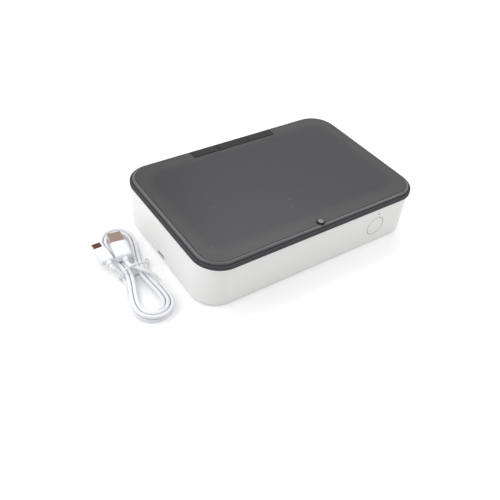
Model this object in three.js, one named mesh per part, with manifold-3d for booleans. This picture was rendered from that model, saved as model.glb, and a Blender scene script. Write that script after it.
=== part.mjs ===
// A hinged-lid ultraviolet sanitizer box for a phone, with its charging lead lying beside it.
// Millimetres, +Z up, +X along the long side, the front faces -Y.
// The origin is on the table, under the middle of the box.
import * as THREE from 'three';
import { mergeVertices } from 'three/addons/utils/BufferGeometryUtils.js';
import Module from 'manifold-3d';

const wasm = await Module();
wasm.setup();
const weld_distance = 1e-4;

// Driving sizes of the housing
const body_width = 228;
const body_depth = 146.3;
const body_height = 40.3;
const body_corner_radius = 23.2;
const body_draft = 0.78;
const body_wall = 2.2;
const floor_thickness = 1.6;
const bottom_edge_radius = 2.6;
const top_edge_radius = 0.6;
const rim_lip = 1.2;
const foot_stand = 1;

// Gaps
const seat_gap = 0.3;
const slide_gap = 0.3;
const overrun = 1;

// Bottom cover
const cover_margin = 10;
const cover_rib_height = 1.4;
const cover_rib_width = 1.2;
const cover_rib_inset = 1;
const cover_corner_radius = 13;
const foot_radius = 5;
const foot_recess = 0.7;
const foot_edge = 0.3;
const foot_inset_x = 15.2;
const foot_inset_y = 12.4;
const screw_inset_x = 15.2;
const screw_board_room = 6;
const screw_radius = 1.2;
const screw_head_radius = 2.5;
const screw_head_height = 1;
const screw_length = 7.2;
const screw_drive_radius = 1;
const screw_drive_depth = 0.6;
const cover_screw_inset = 0.15;

// Inner tray
const deck_thickness = 1.9;
const deck_drop = 0.3;
const deck_edge = 0.4;
const cavity_side = 14;
const board_room = 0.95;
const cavity_corner_radius = 16;
const cavity_draft = 3.5;
const cavity_height = 28.5;
const cavity_mouth_radius = 1.5;
const cavity_floor_radius = 3;
const tray_wall = 1.8;
const rib_count = 9;
const rib_thickness = 2;
const rib_height = 11.5;
const rib_lamp_room = 2;
const rib_wall_room = 7;
const rib_end_radius = 3;
const post_radius = 3.2;
const cradle_width = 2;
const cradle_spread = 8;
const cradle_wall = 1;

// Lamp and reflector
const lamp_radius = 3;
const lamp_end_room = 17;
const lamp_height = 6.5;
const lamp_tip_length = 1.2;
const lamp_tip_round = 0.3;
const lamp_tip_share = 0.6;
const cap_radius = 3.8;
const cap_length = 9;
const cap_cover = 4;
const cap_pin_radius = 0.5;
const cap_pin_length = 3;
const holder_length = 7;
const holder_width = 14;
const holder_top = 5;
const holder_mouth = 5.6;
const holder_foot_width = 20;
const holder_foot_height = 2;
const reflector_width = 30;
const reflector_flat = 9;
const reflector_rise = 3.2;
const reflector_thickness = 0.5;

// Lid
const lid_overhang = 1;
const lid_gap = 0.3;
const flange_height = 3;
const flange_edge_radius = 0.8;
const ledge_width = 1;
const crease_depth = 0.4;
const crease_width = 0.5;
const shoulder_radius = 2.3;
const groove_width = 0.5;
const groove_depth = 0.45;
const groove_slope = 0.1;
const panel_thickness = 2.4;
const skirt_width = 4.2;
const skirt_fillet = 1.6;

// Hinge
const hinge_width = 90.4;
const hinge_middle_width = 34;
const hinge_front_inset = 12.2;
const hinge_swing_radius = 3.8;
const hinge_line_gap = 0.6;
const hinge_edge = 0.4;
const hinge_flat_past_pin = 0.2;
const hinge_slope_drop = 2.7;
const pin_radius = 0.7;
const pin_end_wall = 1.6;
const leaf_reach = 15;
const leaf_thickness = 2;
const leaf_screw_spread = 20;
const leaf_screw_inset = 7;
const leaf_screw_radius = 0.9;
const leaf_screw_head_radius = 1.9;
const leaf_screw_head_height = 0.9;
const leaf_screw_bite = 1.3;
const leaf_screw_drive_depth = 0.3;
const peg_radius = 2;
const peg_spread = 16;
const peg_from_front = 5.5;
const peg_head_radius = 3;
const peg_head_height = 1;

// Stud with its magnet, and the switch that it works
const stud_radius = 3.5;
const stud_inset = 7;
const stud_head_height = 1.3;
const stud_dome = 0.8;
const stud_stem_radius = 2.4;
const stud_stem_length = 4.5;
const stud_counterbore = 0.9;
const magnet_radius = 1.5;
const magnet_height = 2;
const sensor_radius = 1.1;
const sensor_length = 13;
const sensor_lead_radius = 0.35;
const sensor_lead_length = 4;

// Power button, its board and indicator
const button_radius = 9.2;
const button_from_side = 49.2;
const button_height = 21;
const button_skin = 0.1;
const button_flange_radius = 10.8;
const button_flange = 1.2;
const button_travel = 0.8;
const button_stem_radius = 2;
const button_stem_length = 2.6;
const switch_size = 6;
const switch_depth = 3.5;
const switch_bore_radius = 1.9;
const switch_bore_depth = 2.6;
const plunger_radius = 1.6;
const plunger_spare = 0.1;
const plunger_length = 2.5;
const board_thickness = 1.2;
const button_board_width = 38;
const button_board_height = 26;
const board_boss_radius = 2.2;
const board_boss_spread_x = 15;
const board_boss_spread_z = 9.5;
const board_hole_radius = 0.9;
const indicator_offset = 0.8;
const indicator_height = 34.3;
const lens_radius = 0.7;
const lens_flange_radius = 1.6;
const lens_flange = 0.8;
const led_radius = 1.5;
const led_length = 3.4;
const led_nose_share = 0.7;
const led_nose_rise_share = 0.3;
const led_flange_share = 1.2;
const led_flange = 0.45;

// Main board with its socket, and the lamp driver
const port_height = 4.5;
const port_width = 8.94;
const port_thickness = 3.26;
const port_depth = 7.3;
const port_shell = 0.3;
const port_set_back = 0.7;
const port_tongue_width = 6.6;
const port_tongue_thickness = 0.7;
const port_tongue_length = 5;
const main_board_length = 56;
const main_board_width = 48;
const main_board_corner = 2;
const chip_size = 10;
const chip_thickness = 1.4;
const chip_x = 30;
const standoff_radius = 2;
const standoff_inset = 4;
const standoff_socket_clear = 12;
const driver_board_length = 60;
const driver_board_width = 28;
const driver_from_side = 66;
const coil_form_length = 22;
const coil_form_width = 17;
const coil_form_x = 10;
const coil_winding_share = 0.55;
const coil_winding_drop = 0.7;

// Charging lead: plugs, cord and tie. The cord is 3.2 mm thick.
const cord_radius = 1.6;
const cord_gap = 0.55;
const c_mould_width = 11.2;
const c_mould_length = 18;
const c_mould_thickness = 6;
const c_shell_width = 8.3;
const c_shell_length = 6.7;
const c_shell_thickness = 2.5;
const c_shell_wall = 0.3;
const a_mould_width = 14.4;
const a_mould_length = 20;
const a_mould_thickness = 7.6;
const a_shell_width = 12;
const a_shell_length = 12;
const a_shell_thickness = 4.5;
const a_shell_wall = 0.35;
const a_tongue_share = 0.42;
const plug_collar_radius = 2.7;
const plug_collar_length = 4;
const plug_edge = 1.2;
const plug_corner_share = 0.42;
const plug_edge_share = 0.7;
const plug_collar_taper_share = 0.85;
const plug_collar_root = 2.4;

// Hank: its waist under the tie, and how far its two lobes reach from there
const hank_x = -142.4;
const hank_y = -8;
const hank_turn = -5.5;
const hank_far_reach = 58;
const hank_near_reach = 54;
const hank_far_half_width = 16.5;
const hank_near_half_width = 16.2;
const hank_waist_half_width = 10;
const hank_waist_lift = 1.6;
const hank_waist_length = 22;
const hank_turns = 4 + 1 / 3;
const hank_steps = 24;
const hank_start_step = 2;
const hank_climb_turns = 0.5;
const hank_sides = 6;
const cord_step_radii = 4;
const gap_samples = 4;
const same_stretch_share = 4;
const tie_radius = 0.6;

// Places of the plugs and routes of the free stretches, chosen by hand beside the box
const c_plug = { x: -159.2, y: 7.5, z: 10.4, turn: 1 };
const a_plug = { x: -145.4, y: 4.5, z: 11.2, turn: -8 };
const plug_c_route = [
  [-156, -3.6, 6.8], [-153.7, -8.6, 3.9], [-154.7, -17, 2.3],
];
const plug_a_route = [
  [-143.6, -8, 11.5], [-138, -15.5, 11.2], [-132.8, -22, 8.8],
];
const tie_route = [
  [-129.4, -7, 6.5], [-131.8, -8, 10.2], [-138, -8.4, 13.2], [-145, -8.4, 14], [-152.4, -8.2, 11],
  [-156.7, -8, 6], [-156, -7.8, 1.7], [-151, -8, 0.65], [-142, -8, 0.65], [-133.6, -8, 0.65],
  [-130.7, -7.6, 2.6], [-128.8, -3, 3.6], [-127.2, 2, 4.4], [-126, -2, 3.4],
];

// Places worked out from the sizes above
const body_bottom = foot_stand;
const body_top = body_bottom + body_height;
const deck_top = body_top - deck_drop;
const deck_bottom = deck_top - deck_thickness;
const cavity_floor = deck_top - cavity_height;
const tray_underside = cavity_floor - tray_wall;
const cover_top = body_bottom + floor_thickness;
const lamp_z = cavity_floor + lamp_height;
const lid_bottom = body_top + lid_gap;
const lid_half_x = body_width / 2 + lid_overhang;
const lid_half_y = body_depth / 2 + lid_overhang;
const flange_top = lid_bottom + flange_height;
const lid_top = flange_top + shoulder_radius;
const panel_bottom = lid_top - panel_thickness;
const pin_z = lid_bottom + hinge_swing_radius;
const pin_y = lid_half_y - hinge_swing_radius;
const hinge_front_y = body_depth / 2 - hinge_front_inset;
const cord_diameter = 2 * cord_radius;
const cord_pitch = cord_diameter + cord_gap;
const cover_half_x = body_width / 2 - body_draft - cover_margin;
const cover_half_y = body_depth / 2 - body_draft - cover_margin;
const foot_x = cover_half_x - foot_inset_x;
const foot_y = cover_half_y - foot_inset_y;
const screw_x = cover_half_x - screw_inset_x;
const screw_y = main_board_width / 2 + screw_board_room;

// The switch stack behind the front wall, which leaves the cavity its depth
const button_x = body_width / 2 - button_from_side;
const indicator_x = button_x + indicator_offset;
const front_wall_lean = body_draft * (1 - (button_height - body_bottom) / body_height);
const front_wall_y = -(body_depth / 2 - front_wall_lean);
const front_inner_y = front_wall_y + body_wall;
const button_flange_y = front_inner_y + slide_gap;
const stem_end_y = button_flange_y + button_flange + button_stem_length;
const plunger_y = stem_end_y + seat_gap;
const switch_y = plunger_y + button_travel + plunger_spare;
const button_board_y = switch_y + switch_depth + seat_gap;
const button_board_z = (button_height + indicator_height) / 2 - board_boss_radius;
const cavity_depth = -2 * (button_board_y + board_thickness + board_room + tray_wall);
const cavity_width = body_width - 2 * cavity_side;
const lamp_length = cavity_width - 2 * lamp_end_room;
const rib_pitch = cavity_width / (rib_count + 1);
const rib_inner_y = reflector_width / 2 + rib_lamp_room;
const rib_outer_y = cavity_depth / 2 - rib_wall_room;
const driver_board_x = body_width / 2 - driver_from_side;

// Colours
const white_shell = plain(0xe9e9e6, 0.45);
const smoky_lid = plain(0x55555a, 0.35);
const tray_grey = plain(0x3c3d42, 0.6);
const hinge_grey = plain(0x2f3035, 0.5);
const stud_grey = plain(0x3a3b40, 0.3);
const steel = plain(0xb9bcc0, 0.3, 1);
const polished = plain(0xd9dbde, 0.15, 1);
const lamp_glass = plain(0xe4e6f2, 0.08);
const ceramic = plain(0xe6e2d8, 0.7);
const rubber = plain(0x2a2a2c, 0.9);
const board_green = plain(0x1f5b3a, 0.5);
const black_part = plain(0x1c1c1e, 0.5);
const copper = plain(0xb06a3a, 0.4, 1);
const lens_white = plain(0xf2f4f4, 0.2);
const cord_white = plain(0xeeeef0, 0.4);

function plain(color, roughness, metalness = 0) {
  return new THREE.MeshStandardMaterial({ color, roughness, metalness });
}

// A closed geometry becomes a solid that can be joined and cut
function solid(geometry) {
  const bare = geometry.clone();
  bare.deleteAttribute('normal');
  bare.deleteAttribute('uv');
  const merged = mergeVertices(bare, weld_distance);
  return new wasm.Manifold(new wasm.Mesh({
    numProp: 3,
    vertProperties: merged.attributes.position.array,
    triVerts: Uint32Array.from(merged.index.array),
  }));
}

// A solid becomes a geometry again
function geometryOf(piece) {
  const mesh = piece.getMesh();
  const geometry = new THREE.BufferGeometry();
  const corners = new Float32Array(mesh.numVert * 3);
  for (let i = 0; i < mesh.numVert; i += 1) {
    for (let k = 0; k < 3; k += 1) corners[i * 3 + k] = mesh.vertProperties[i * mesh.numProp + k];
  }
  geometry.setAttribute('position', new THREE.BufferAttribute(corners, 3));
  geometry.setIndex(new THREE.BufferAttribute(Uint32Array.from(mesh.triVerts), 1));
  const faceted = geometry.toNonIndexed();
  faceted.computeVertexNormals();
  return faceted;
}

const box_assembly = new THREE.Group();

function add(name, shape, material, parent = box_assembly) {
  const geometry = shape.isBufferGeometry ? shape : geometryOf(shape);
  const mesh = new THREE.Mesh(geometry, material);
  mesh.name = name;
  parent.add(mesh);
  return mesh;
}

function cutAll(piece, cuts) {
  return cuts.reduce((left, cut) => left.subtract(cut), piece);
}

function joinAll(pieces) {
  return pieces.reduce((joined, piece) => joined.add(piece));
}

// A rectangle with round corners, drawn about its own middle
function roundedRect(halfX, halfY, radius) {
  const shape = new THREE.Shape();
  const x = halfX - radius;
  const y = halfY - radius;
  shape.absarc(x, y, radius, 0, Math.PI / 2);
  shape.absarc(-x, y, radius, Math.PI / 2, Math.PI);
  shape.absarc(-x, -y, radius, Math.PI, 1.5 * Math.PI);
  shape.absarc(x, -y, radius, 1.5 * Math.PI, 2 * Math.PI);
  shape.closePath();
  return shape;
}

function ringPoints(halfX, halfY, radius, arcSteps) {
  const ring = roundedRect(halfX, halfY, radius).getPoints(arcSteps);
  ring.pop();
  return ring;
}

// A closed skin through level outlines that are stacked from the bottom up
function loft(levels, arcSteps = 5) {
  const rings = levels.map((level) => ringPoints(level.halfX, level.halfY, level.radius, arcSteps));
  const count = rings[0].length;
  const corners = [];
  const faces = [];
  rings.forEach((ring, i) => ring.forEach((point) => corners.push(point.x, point.y, levels[i].z)));
  for (let i = 0; i + 1 < rings.length; i += 1) {
    for (let j = 0; j < count; j += 1) {
      const a = i * count + j;
      const b = i * count + ((j + 1) % count);
      faces.push(a, b, b + count, a, b + count, a + count);
    }
  }
  const last = (rings.length - 1) * count;
  for (const [a, b, c] of THREE.ShapeUtils.triangulateShape(rings[0], [])) faces.push(c, b, a);
  for (const [a, b, c] of THREE.ShapeUtils.triangulateShape(rings.at(-1), [])) {
    faces.push(last + a, last + b, last + c);
  }
  const geometry = new THREE.BufferGeometry();
  geometry.setAttribute('position', new THREE.BufferAttribute(new Float32Array(corners), 3));
  geometry.setIndex(faces);
  return solid(geometry);
}

// An upright prism from a drawn outline
function prism(shape, bottom, top, curveSegments = 5) {
  const geometry = new THREE.ExtrudeGeometry(shape, {
    depth: top - bottom, bevelEnabled: false, curveSegments,
  });
  geometry.translate(0, 0, bottom);
  return solid(geometry);
}

// A prism that runs along X from an outline drawn in Y and Z
function prismAlongX(shape, left, right, curveSegments = 6) {
  const geometry = new THREE.ExtrudeGeometry(shape, {
    depth: right - left, bevelEnabled: false, curveSegments,
  });
  geometry.applyMatrix4(new THREE.Matrix4().set(0, 0, 1, left, 1, 0, 0, 0, 0, 1, 0, 0, 0, 0, 0, 1));
  return solid(geometry);
}

function block(left, right, front, back, bottom, top) {
  const geometry = new THREE.BoxGeometry(right - left, back - front, top - bottom);
  geometry.translate((left + right) / 2, (front + back) / 2, (bottom + top) / 2);
  return solid(geometry);
}

// A turned piece about Z from [radius, height] pairs, which start and end on the axis
function turned(profile, sides = 24) {
  const points = profile.map(([radius, height]) => new THREE.Vector2(radius, height));
  const geometry = new THREE.LatheGeometry(points, sides);
  geometry.rotateX(Math.PI / 2);
  return solid(geometry);
}

function rod(radius, bottom, top, sides = 20) {
  return turned([[0, bottom], [radius, bottom], [radius, top], [0, top]], sides);
}

const x_axis_turn = [0, 90, 0];
const y_axis_turn = [-90, 0, 0];

// Housing: level outlines that follow the drafted wall, inset by what is asked
function bodyLevel(z, inset) {
  const lean = body_draft * (1 - (z - body_bottom) / body_height);
  return {
    halfX: body_width / 2 - lean - inset,
    halfY: body_depth / 2 - lean - inset,
    radius: body_corner_radius - lean - inset,
    z,
  };
}

// Quarter round from a flat bottom up to an upright wall, as [inset, rise] steps
function quarterRound(radius, steps) {
  return Array.from({ length: steps + 1 }, (_, i) => {
    const angle = (i / steps) * Math.PI / 2;
    return [radius * (1 - Math.sin(angle)), radius * (1 - Math.cos(angle))];
  });
}

function bodySkin(inset) {
  const lower = quarterRound(bottom_edge_radius, 4)
    .map(([cut, rise]) => bodyLevel(body_bottom + rise, inset + cut));
  const upper = quarterRound(top_edge_radius, 2).reverse()
    .map(([cut, rise]) => bodyLevel(body_top - rise, inset + cut));
  return loft([...lower, ...upper]);
}

// A rod along Y that starts at the front and runs inwards
function rodAlongY(radius, x, front, back, z, sides = 20) {
  return rod(radius, 0, back - front, sides).rotate(y_axis_turn).translate([x, front, z]);
}

function rodAlongX(radius, left, right, y, z, sides = 20) {
  return rod(radius, 0, right - left, sides).rotate(x_axis_turn).translate([left, y, z]);
}

function slotShape(length, height) {
  const shape = new THREE.Shape();
  const reach = (length - height) / 2;
  shape.absarc(reach, 0, height / 2, -Math.PI / 2, Math.PI / 2);
  shape.absarc(-reach, 0, height / 2, Math.PI / 2, 1.5 * Math.PI);
  shape.closePath();
  return shape;
}

function makeOuterShell() {
  const hollow = loft([
    bodyLevel(cover_top, body_wall),
    bodyLevel(body_top + overrun, body_wall),
  ]);
  const rim = loft([
    bodyLevel(deck_bottom - seat_gap, rim_lip),
    bodyLevel(body_top + overrun, rim_lip),
  ]);
  const underside = prism(
    roundedRect(cover_half_x, cover_half_y, cover_corner_radius),
    body_bottom - overrun, cover_top + overrun);
  const port = prismAlongX(
    slotShape(port_width + 2 * slide_gap, port_thickness + 2 * slide_gap),
    -body_width / 2 - overrun, -body_width / 2 + body_wall + body_draft + overrun)
    .translate([0, 0, port_height]);
  const button_hole = rodAlongY(button_radius + slide_gap, button_x,
    front_wall_y - overrun, front_inner_y + overrun, button_height, 40);
  const lens_hole = rodAlongY(lens_radius + slide_gap, indicator_x,
    front_wall_y - overrun, front_inner_y + overrun, indicator_height, 12);
  const bosses = [];
  for (const side of [-1, 1]) {
    for (const level of [-1, 1]) {
      const x = button_x + side * board_boss_spread_x;
      const z = button_board_z + level * board_boss_spread_z;
      const boss = rodAlongY(board_boss_radius, x, front_inner_y - body_wall / 2,
        button_board_y - seat_gap, z, 16);
      const bore = rodAlongY(board_hole_radius, x, front_inner_y + body_wall,
        button_board_y, z, 12);
      bosses.push(boss.subtract(bore));
    }
  }
  const walls = cutAll(bodySkin(0), [hollow, rim, underside, port, button_hole, lens_hole]);
  return joinAll([walls, ...bosses]);
}

// Bottom cover, with its stiffening rib, screw holes, foot recesses and board standoffs
const main_board_z = port_height + port_thickness / 2 + seat_gap;
const main_board_left = -(body_width / 2 - body_draft - body_wall - seat_gap);
const main_board_right = main_board_left + main_board_length;
const driver_board_left = driver_board_x - driver_board_length / 2;
const driver_board_right = driver_board_x + driver_board_length / 2;

function cornerPlaces(x, y) {
  return [[-x, -y], [x, -y], [-x, y], [x, y]];
}

function standoffPlaces() {
  const places = [];
  const y_main = main_board_width / 2 - standoff_inset;
  const y_driver = driver_board_width / 2 - standoff_inset;
  for (const side of [-1, 1]) {
    places.push([main_board_left + standoff_socket_clear, side * y_main]);
    places.push([main_board_right - standoff_inset, side * y_main]);
    places.push([driver_board_left + standoff_inset, side * y_driver]);
    places.push([driver_board_right - standoff_inset, side * y_driver]);
  }
  return places;
}

function makeBottomCover() {
  const half_x = cover_half_x - seat_gap;
  const half_y = cover_half_y - seat_gap;
  const corner = cover_corner_radius - seat_gap;
  const plate = prism(roundedRect(half_x, half_y, corner), body_bottom, cover_top);
  const rib_outside = roundedRect(
    half_x - cover_rib_inset, half_y - cover_rib_inset, corner - cover_rib_inset);
  const rib_in = cover_rib_inset + cover_rib_width;
  rib_outside.holes.push(roundedRect(half_x - rib_in, half_y - rib_in, corner - rib_in));
  const rib = prism(rib_outside, cover_top - floor_thickness / 2, cover_top + cover_rib_height);
  const standoffs = standoffPlaces().map(([x, y]) => rod(
    standoff_radius, cover_top - floor_thickness / 2, main_board_z - seat_gap, 12)
    .translate([x, y, 0]));
  const recesses = cornerPlaces(foot_x, foot_y).map(([x, y]) => rod(
    foot_radius + seat_gap, body_bottom - overrun, body_bottom + foot_recess, 28)
    .translate([x, y, 0]));
  const screw_holes = cornerPlaces(screw_x, screw_y).map(([x, y]) => turned([
    [0, body_bottom - overrun],
    [screw_head_radius + seat_gap, body_bottom - overrun],
    [screw_head_radius + seat_gap, body_bottom + cover_screw_inset + seat_gap],
    [screw_radius + seat_gap, body_bottom + cover_screw_inset + screw_head_height + seat_gap],
    [screw_radius + seat_gap, cover_top + overrun],
    [0, cover_top + overrun],
  ], 16).translate([x, y, 0]));
  return cutAll(joinAll([plate, rib, ...standoffs]), [...recesses, ...screw_holes]);
}

function makeFoot() {
  const top = body_bottom + foot_recess - seat_gap;
  return turned([
    [0, 0], [foot_radius - foot_edge, 0], [foot_radius, foot_edge], [foot_radius, top], [0, top],
  ], 28);
}

function makeCoverScrew() {
  const bottom = body_bottom + cover_screw_inset;
  const screw = turned([
    [0, bottom], [screw_head_radius, bottom],
    [screw_radius, bottom + screw_head_height], [screw_radius, bottom + screw_length],
    [0, bottom + screw_length + screw_radius / 2],
  ], 16);
  const drive = rod(screw_drive_radius, bottom - overrun, bottom + screw_drive_depth, 6);
  return screw.subtract(drive);
}

// Inner tray: deck and cavity in one moulding
function cavityLevel(z, inset) {
  const lean = cavity_draft * (deck_top - z) / cavity_height;
  return {
    halfX: cavity_width / 2 - lean - inset,
    halfY: cavity_depth / 2 - lean - inset,
    radius: cavity_corner_radius - lean - inset,
    z,
  };
}

const stud_y = -(lid_half_y - stud_inset);
const sensor_z = deck_bottom - seat_gap - sensor_radius;

function deckLevel(z, inset) {
  return bodyLevel(z, rim_lip + seat_gap + inset);
}

function makeRib(x, side) {
  const low = cavity_floor - tray_wall / 2;
  const high = cavity_floor + rib_height;
  const shape = new THREE.Shape();
  shape.moveTo(rib_inner_y, low);
  shape.lineTo(rib_outer_y, low);
  shape.lineTo(rib_outer_y, high);
  shape.lineTo(rib_inner_y + rib_end_radius, high);
  shape.absarc(rib_inner_y + rib_end_radius, high - rib_end_radius, rib_end_radius,
    Math.PI / 2, Math.PI);
  shape.closePath();
  const rib = prismAlongX(shape, x - rib_thickness / 2, x + rib_thickness / 2, 3);
  return side > 0 ? rib : rib.mirror([0, 1, 0]);
}

function pegPlaces() {
  const middle = (hinge_middle_width + hinge_width) / 4;
  const places = [];
  for (const side of [-1, 1]) {
    for (const end of [-1, 1]) {
      places.push([side * middle + end * peg_spread / 2, hinge_front_y + peg_from_front]);
    }
  }
  return places;
}

// Two clips under the deck that carry the lid sensor below the stud
function makeSensorCradles() {
  const half_depth = sensor_radius + seat_gap + cradle_wall;
  const bore = rodAlongX(sensor_radius + seat_gap, -sensor_length, sensor_length,
    stud_y, sensor_z, 16);
  return [-1, 1].map((side) => {
    const x = side * cradle_spread / 2;
    const clip = block(x - cradle_width / 2, x + cradle_width / 2,
      stud_y - half_depth, stud_y + half_depth, sensor_z - sensor_radius / 2,
      deck_bottom + deck_edge);
    return clip.subtract(bore);
  });
}

function makeInnerTray() {
  const deck = loft([
    deckLevel(deck_bottom, 0),
    deckLevel(deck_top - deck_edge, 0),
    deckLevel(deck_top, deck_edge),
  ]);
  const tub = loft([
    cavityLevel(tray_underside, cavity_floor_radius - tray_wall),
    cavityLevel(tray_underside + cavity_floor_radius, -tray_wall),
    cavityLevel(deck_top - deck_edge, -tray_wall),
  ]);
  const floor_round = quarterRound(cavity_floor_radius, 3)
    .map(([cut, rise]) => cavityLevel(cavity_floor + rise, cut));
  const mouth_round = quarterRound(cavity_mouth_radius, 3).reverse()
    .map(([cut, rise]) => cavityLevel(deck_top - rise, -cut));
  const hollow = loft([
    ...floor_round, ...mouth_round,
    cavityLevel(deck_top + overrun, -cavity_mouth_radius),
  ]);
  const ribs = [];
  for (let i = 0; i < rib_count; i += 1) {
    const x = (i - (rib_count - 1) / 2) * rib_pitch;
    ribs.push(makeRib(x, 1), makeRib(x, -1));
  }
  const posts = cornerPlaces(screw_x, screw_y).map(([x, y]) => rod(
    post_radius, cover_top + seat_gap, tray_underside + tray_wall / 2, 16)
    .translate([x, y, 0]));
  const pilot_top = body_bottom + cover_screw_inset + screw_length + screw_radius;
  const pilots = cornerPlaces(screw_x, screw_y).map(([x, y]) => rod(
    screw_radius + seat_gap, cover_top - overrun, pilot_top, 16).translate([x, y, 0]));
  const peg_holes = pegPlaces().map(([x, y]) => rod(
    peg_radius + seat_gap, deck_bottom - overrun, deck_top + overrun, 16)
    .translate([x, y, 0]));
  const shell = joinAll([deck, tub, ...makeSensorCradles()]).subtract(hollow);
  return cutAll(joinAll([shell, ...ribs, ...posts]), [...pilots, ...peg_holes]);
}

// Lamp, its caps and holders, and the reflector under it
function makeLampTube() {
  const half = lamp_length / 2;
  const tip = lamp_radius * lamp_tip_share;
  return turned([
    [0, -half], [tip, lamp_tip_round - half], [lamp_radius, lamp_tip_length - half],
    [lamp_radius, half - lamp_tip_length], [tip, half - lamp_tip_round], [0, half],
  ], 20).rotate(x_axis_turn).translate([0, 0, lamp_z]);
}

const cap_start_x = lamp_length / 2 - cap_cover;
const holder_start_x = cap_start_x + (cap_length - holder_length) / 2 + seat_gap;

function makeLampCap(side) {
  const outer = rod(cap_radius, 0, cap_length, 24);
  const bore = rod(lamp_radius + seat_gap, -overrun, cap_cover + seat_gap, 24);
  const pins = [-1, 1].map((end) => rod(cap_pin_radius, cap_length - overrun,
    cap_length + cap_pin_length, 8).translate([0, end * cap_radius / 2, 0]));
  const cap = joinAll([outer.subtract(bore), ...pins])
    .rotate(x_axis_turn).translate([cap_start_x, 0, lamp_z]);
  return side > 0 ? cap : cap.mirror([1, 0, 0]);
}

function makeLampHolder(side) {
  const left = holder_start_x;
  const right = left + holder_length;
  const bottom = cavity_floor + seat_gap;
  const shape = new THREE.Shape();
  const half_foot = holder_foot_width / 2;
  const half_body = holder_width / 2;
  const foot_level = bottom + holder_foot_height;
  const top = lamp_z + holder_top;
  shape.moveTo(-half_foot, bottom);
  shape.lineTo(half_foot, bottom);
  shape.lineTo(half_foot, foot_level);
  shape.lineTo(half_body, foot_level + holder_foot_height);
  shape.lineTo(half_body, top - holder_foot_height);
  shape.lineTo(half_body - holder_foot_height, top);
  shape.lineTo(-half_body + holder_foot_height, top);
  shape.lineTo(-half_body, top - holder_foot_height);
  shape.lineTo(-half_body, foot_level + holder_foot_height);
  shape.lineTo(-half_foot, foot_level);
  shape.closePath();
  const bodyPart = prismAlongX(shape, left, right);
  const bore = rodAlongX(cap_radius + seat_gap, left - overrun, right + overrun, 0, lamp_z, 24);
  const mouth = block(left - overrun, right + overrun, -holder_mouth / 2, holder_mouth / 2,
    lamp_z, top + overrun);
  const holder = cutAll(bodyPart, [bore, mouth]);
  return side > 0 ? holder : holder.mirror([1, 0, 0]);
}

function makeReflector() {
  const bottom = cavity_floor + seat_gap;
  const shape = new THREE.Shape();
  const half_flat = reflector_flat / 2;
  const half = reflector_width / 2;
  const edge = bottom + reflector_rise;
  shape.moveTo(-half_flat, bottom);
  shape.lineTo(half_flat, bottom);
  shape.quadraticCurveTo((half_flat + half) / 2, bottom, half, edge);
  shape.lineTo(half, edge + reflector_thickness);
  shape.quadraticCurveTo((half_flat + half) / 2, bottom + reflector_thickness,
    half_flat, bottom + reflector_thickness);
  shape.lineTo(-half_flat, bottom + reflector_thickness);
  shape.quadraticCurveTo(-(half_flat + half) / 2, bottom + reflector_thickness,
    -half, edge + reflector_thickness);
  shape.lineTo(-half, edge);
  shape.quadraticCurveTo(-(half_flat + half) / 2, bottom, -half_flat, bottom);
  const reach = holder_start_x - seat_gap;
  return prismAlongX(shape, -reach, reach, 6);
}

// Lid: the moulded profile, swept as a stack of level outlines
function lidLevel(z, inset) {
  return {
    halfX: lid_half_x - inset,
    halfY: lid_half_y - inset,
    radius: body_corner_radius + lid_overhang - inset,
    z,
  };
}

const shoulder_foot = flange_edge_radius + ledge_width + crease_width;
const panel_inset = shoulder_foot + shoulder_radius;
const groove_floor = lid_top - groove_depth;

function lidSkin() {
  const edge = quarterRound(flange_edge_radius, 3).reverse()
    .map(([cut, rise]) => lidLevel(flange_top - rise, cut));
  const shoulder = quarterRound(shoulder_radius, 6).reverse()
    .map(([cut, rise]) => lidLevel(lid_top - rise, shoulder_foot + cut));
  return loft([
    lidLevel(lid_bottom, flange_edge_radius / 2),
    lidLevel(lid_bottom + flange_edge_radius / 2, 0),
    ...edge,
    lidLevel(flange_top, flange_edge_radius + ledge_width),
    lidLevel(flange_top - crease_depth, shoulder_foot - crease_width / 2),
    lidLevel(flange_top, shoulder_foot),
    ...shoulder,
    lidLevel(groove_floor, panel_inset + groove_slope),
    lidLevel(groove_floor, panel_inset + groove_width - groove_slope),
    lidLevel(lid_top, panel_inset + groove_width),
  ]);
}

// The rear edge is rounded about the pin, so that it clears the housing as the lid swings
function rearRelief() {
  const corner = block(-lid_half_x - overrun, lid_half_x + overrun,
    pin_y, lid_half_y + overrun, lid_bottom - overrun, pin_z);
  const round = rodAlongX(hinge_swing_radius, -lid_half_x - 2 * overrun,
    lid_half_x + 2 * overrun, pin_y, pin_z, 64);
  return corner.subtract(round);
}

function leafScrewPlaces() {
  const y = hinge_front_y - leaf_screw_inset;
  return [[-leaf_screw_spread / 2, y], [leaf_screw_spread / 2, y]];
}

function makeLid() {
  const hollow_round = quarterRound(skirt_fillet, 3).reverse()
    .map(([cut, rise]) => lidLevel(panel_bottom - rise, skirt_width + cut));
  const hollow = loft([lidLevel(lid_bottom - overrun, skirt_width), ...hollow_round]);
  const notch = block(-hinge_width / 2 - hinge_line_gap, hinge_width / 2 + hinge_line_gap,
    hinge_front_y - hinge_line_gap, lid_half_y + overrun,
    lid_bottom - overrun, lid_top + overrun);
  const stud_hole = joinAll([
    rod(stud_stem_radius + seat_gap, lid_bottom - overrun, lid_top, 28),
    rod(stud_radius + seat_gap, lid_top - stud_counterbore - seat_gap, lid_top + overrun, 36),
  ]).translate([0, stud_y, 0]);
  const screw_holes = leafScrewPlaces().map(([x, y]) => rod(
    leaf_screw_radius + seat_gap, panel_bottom - overrun,
    panel_bottom + leaf_screw_bite + seat_gap, 12).translate([x, y, 0]));
  return cutAll(lidSkin(), [hollow, notch, rearRelief(), stud_hole, ...screw_holes]);
}

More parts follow.
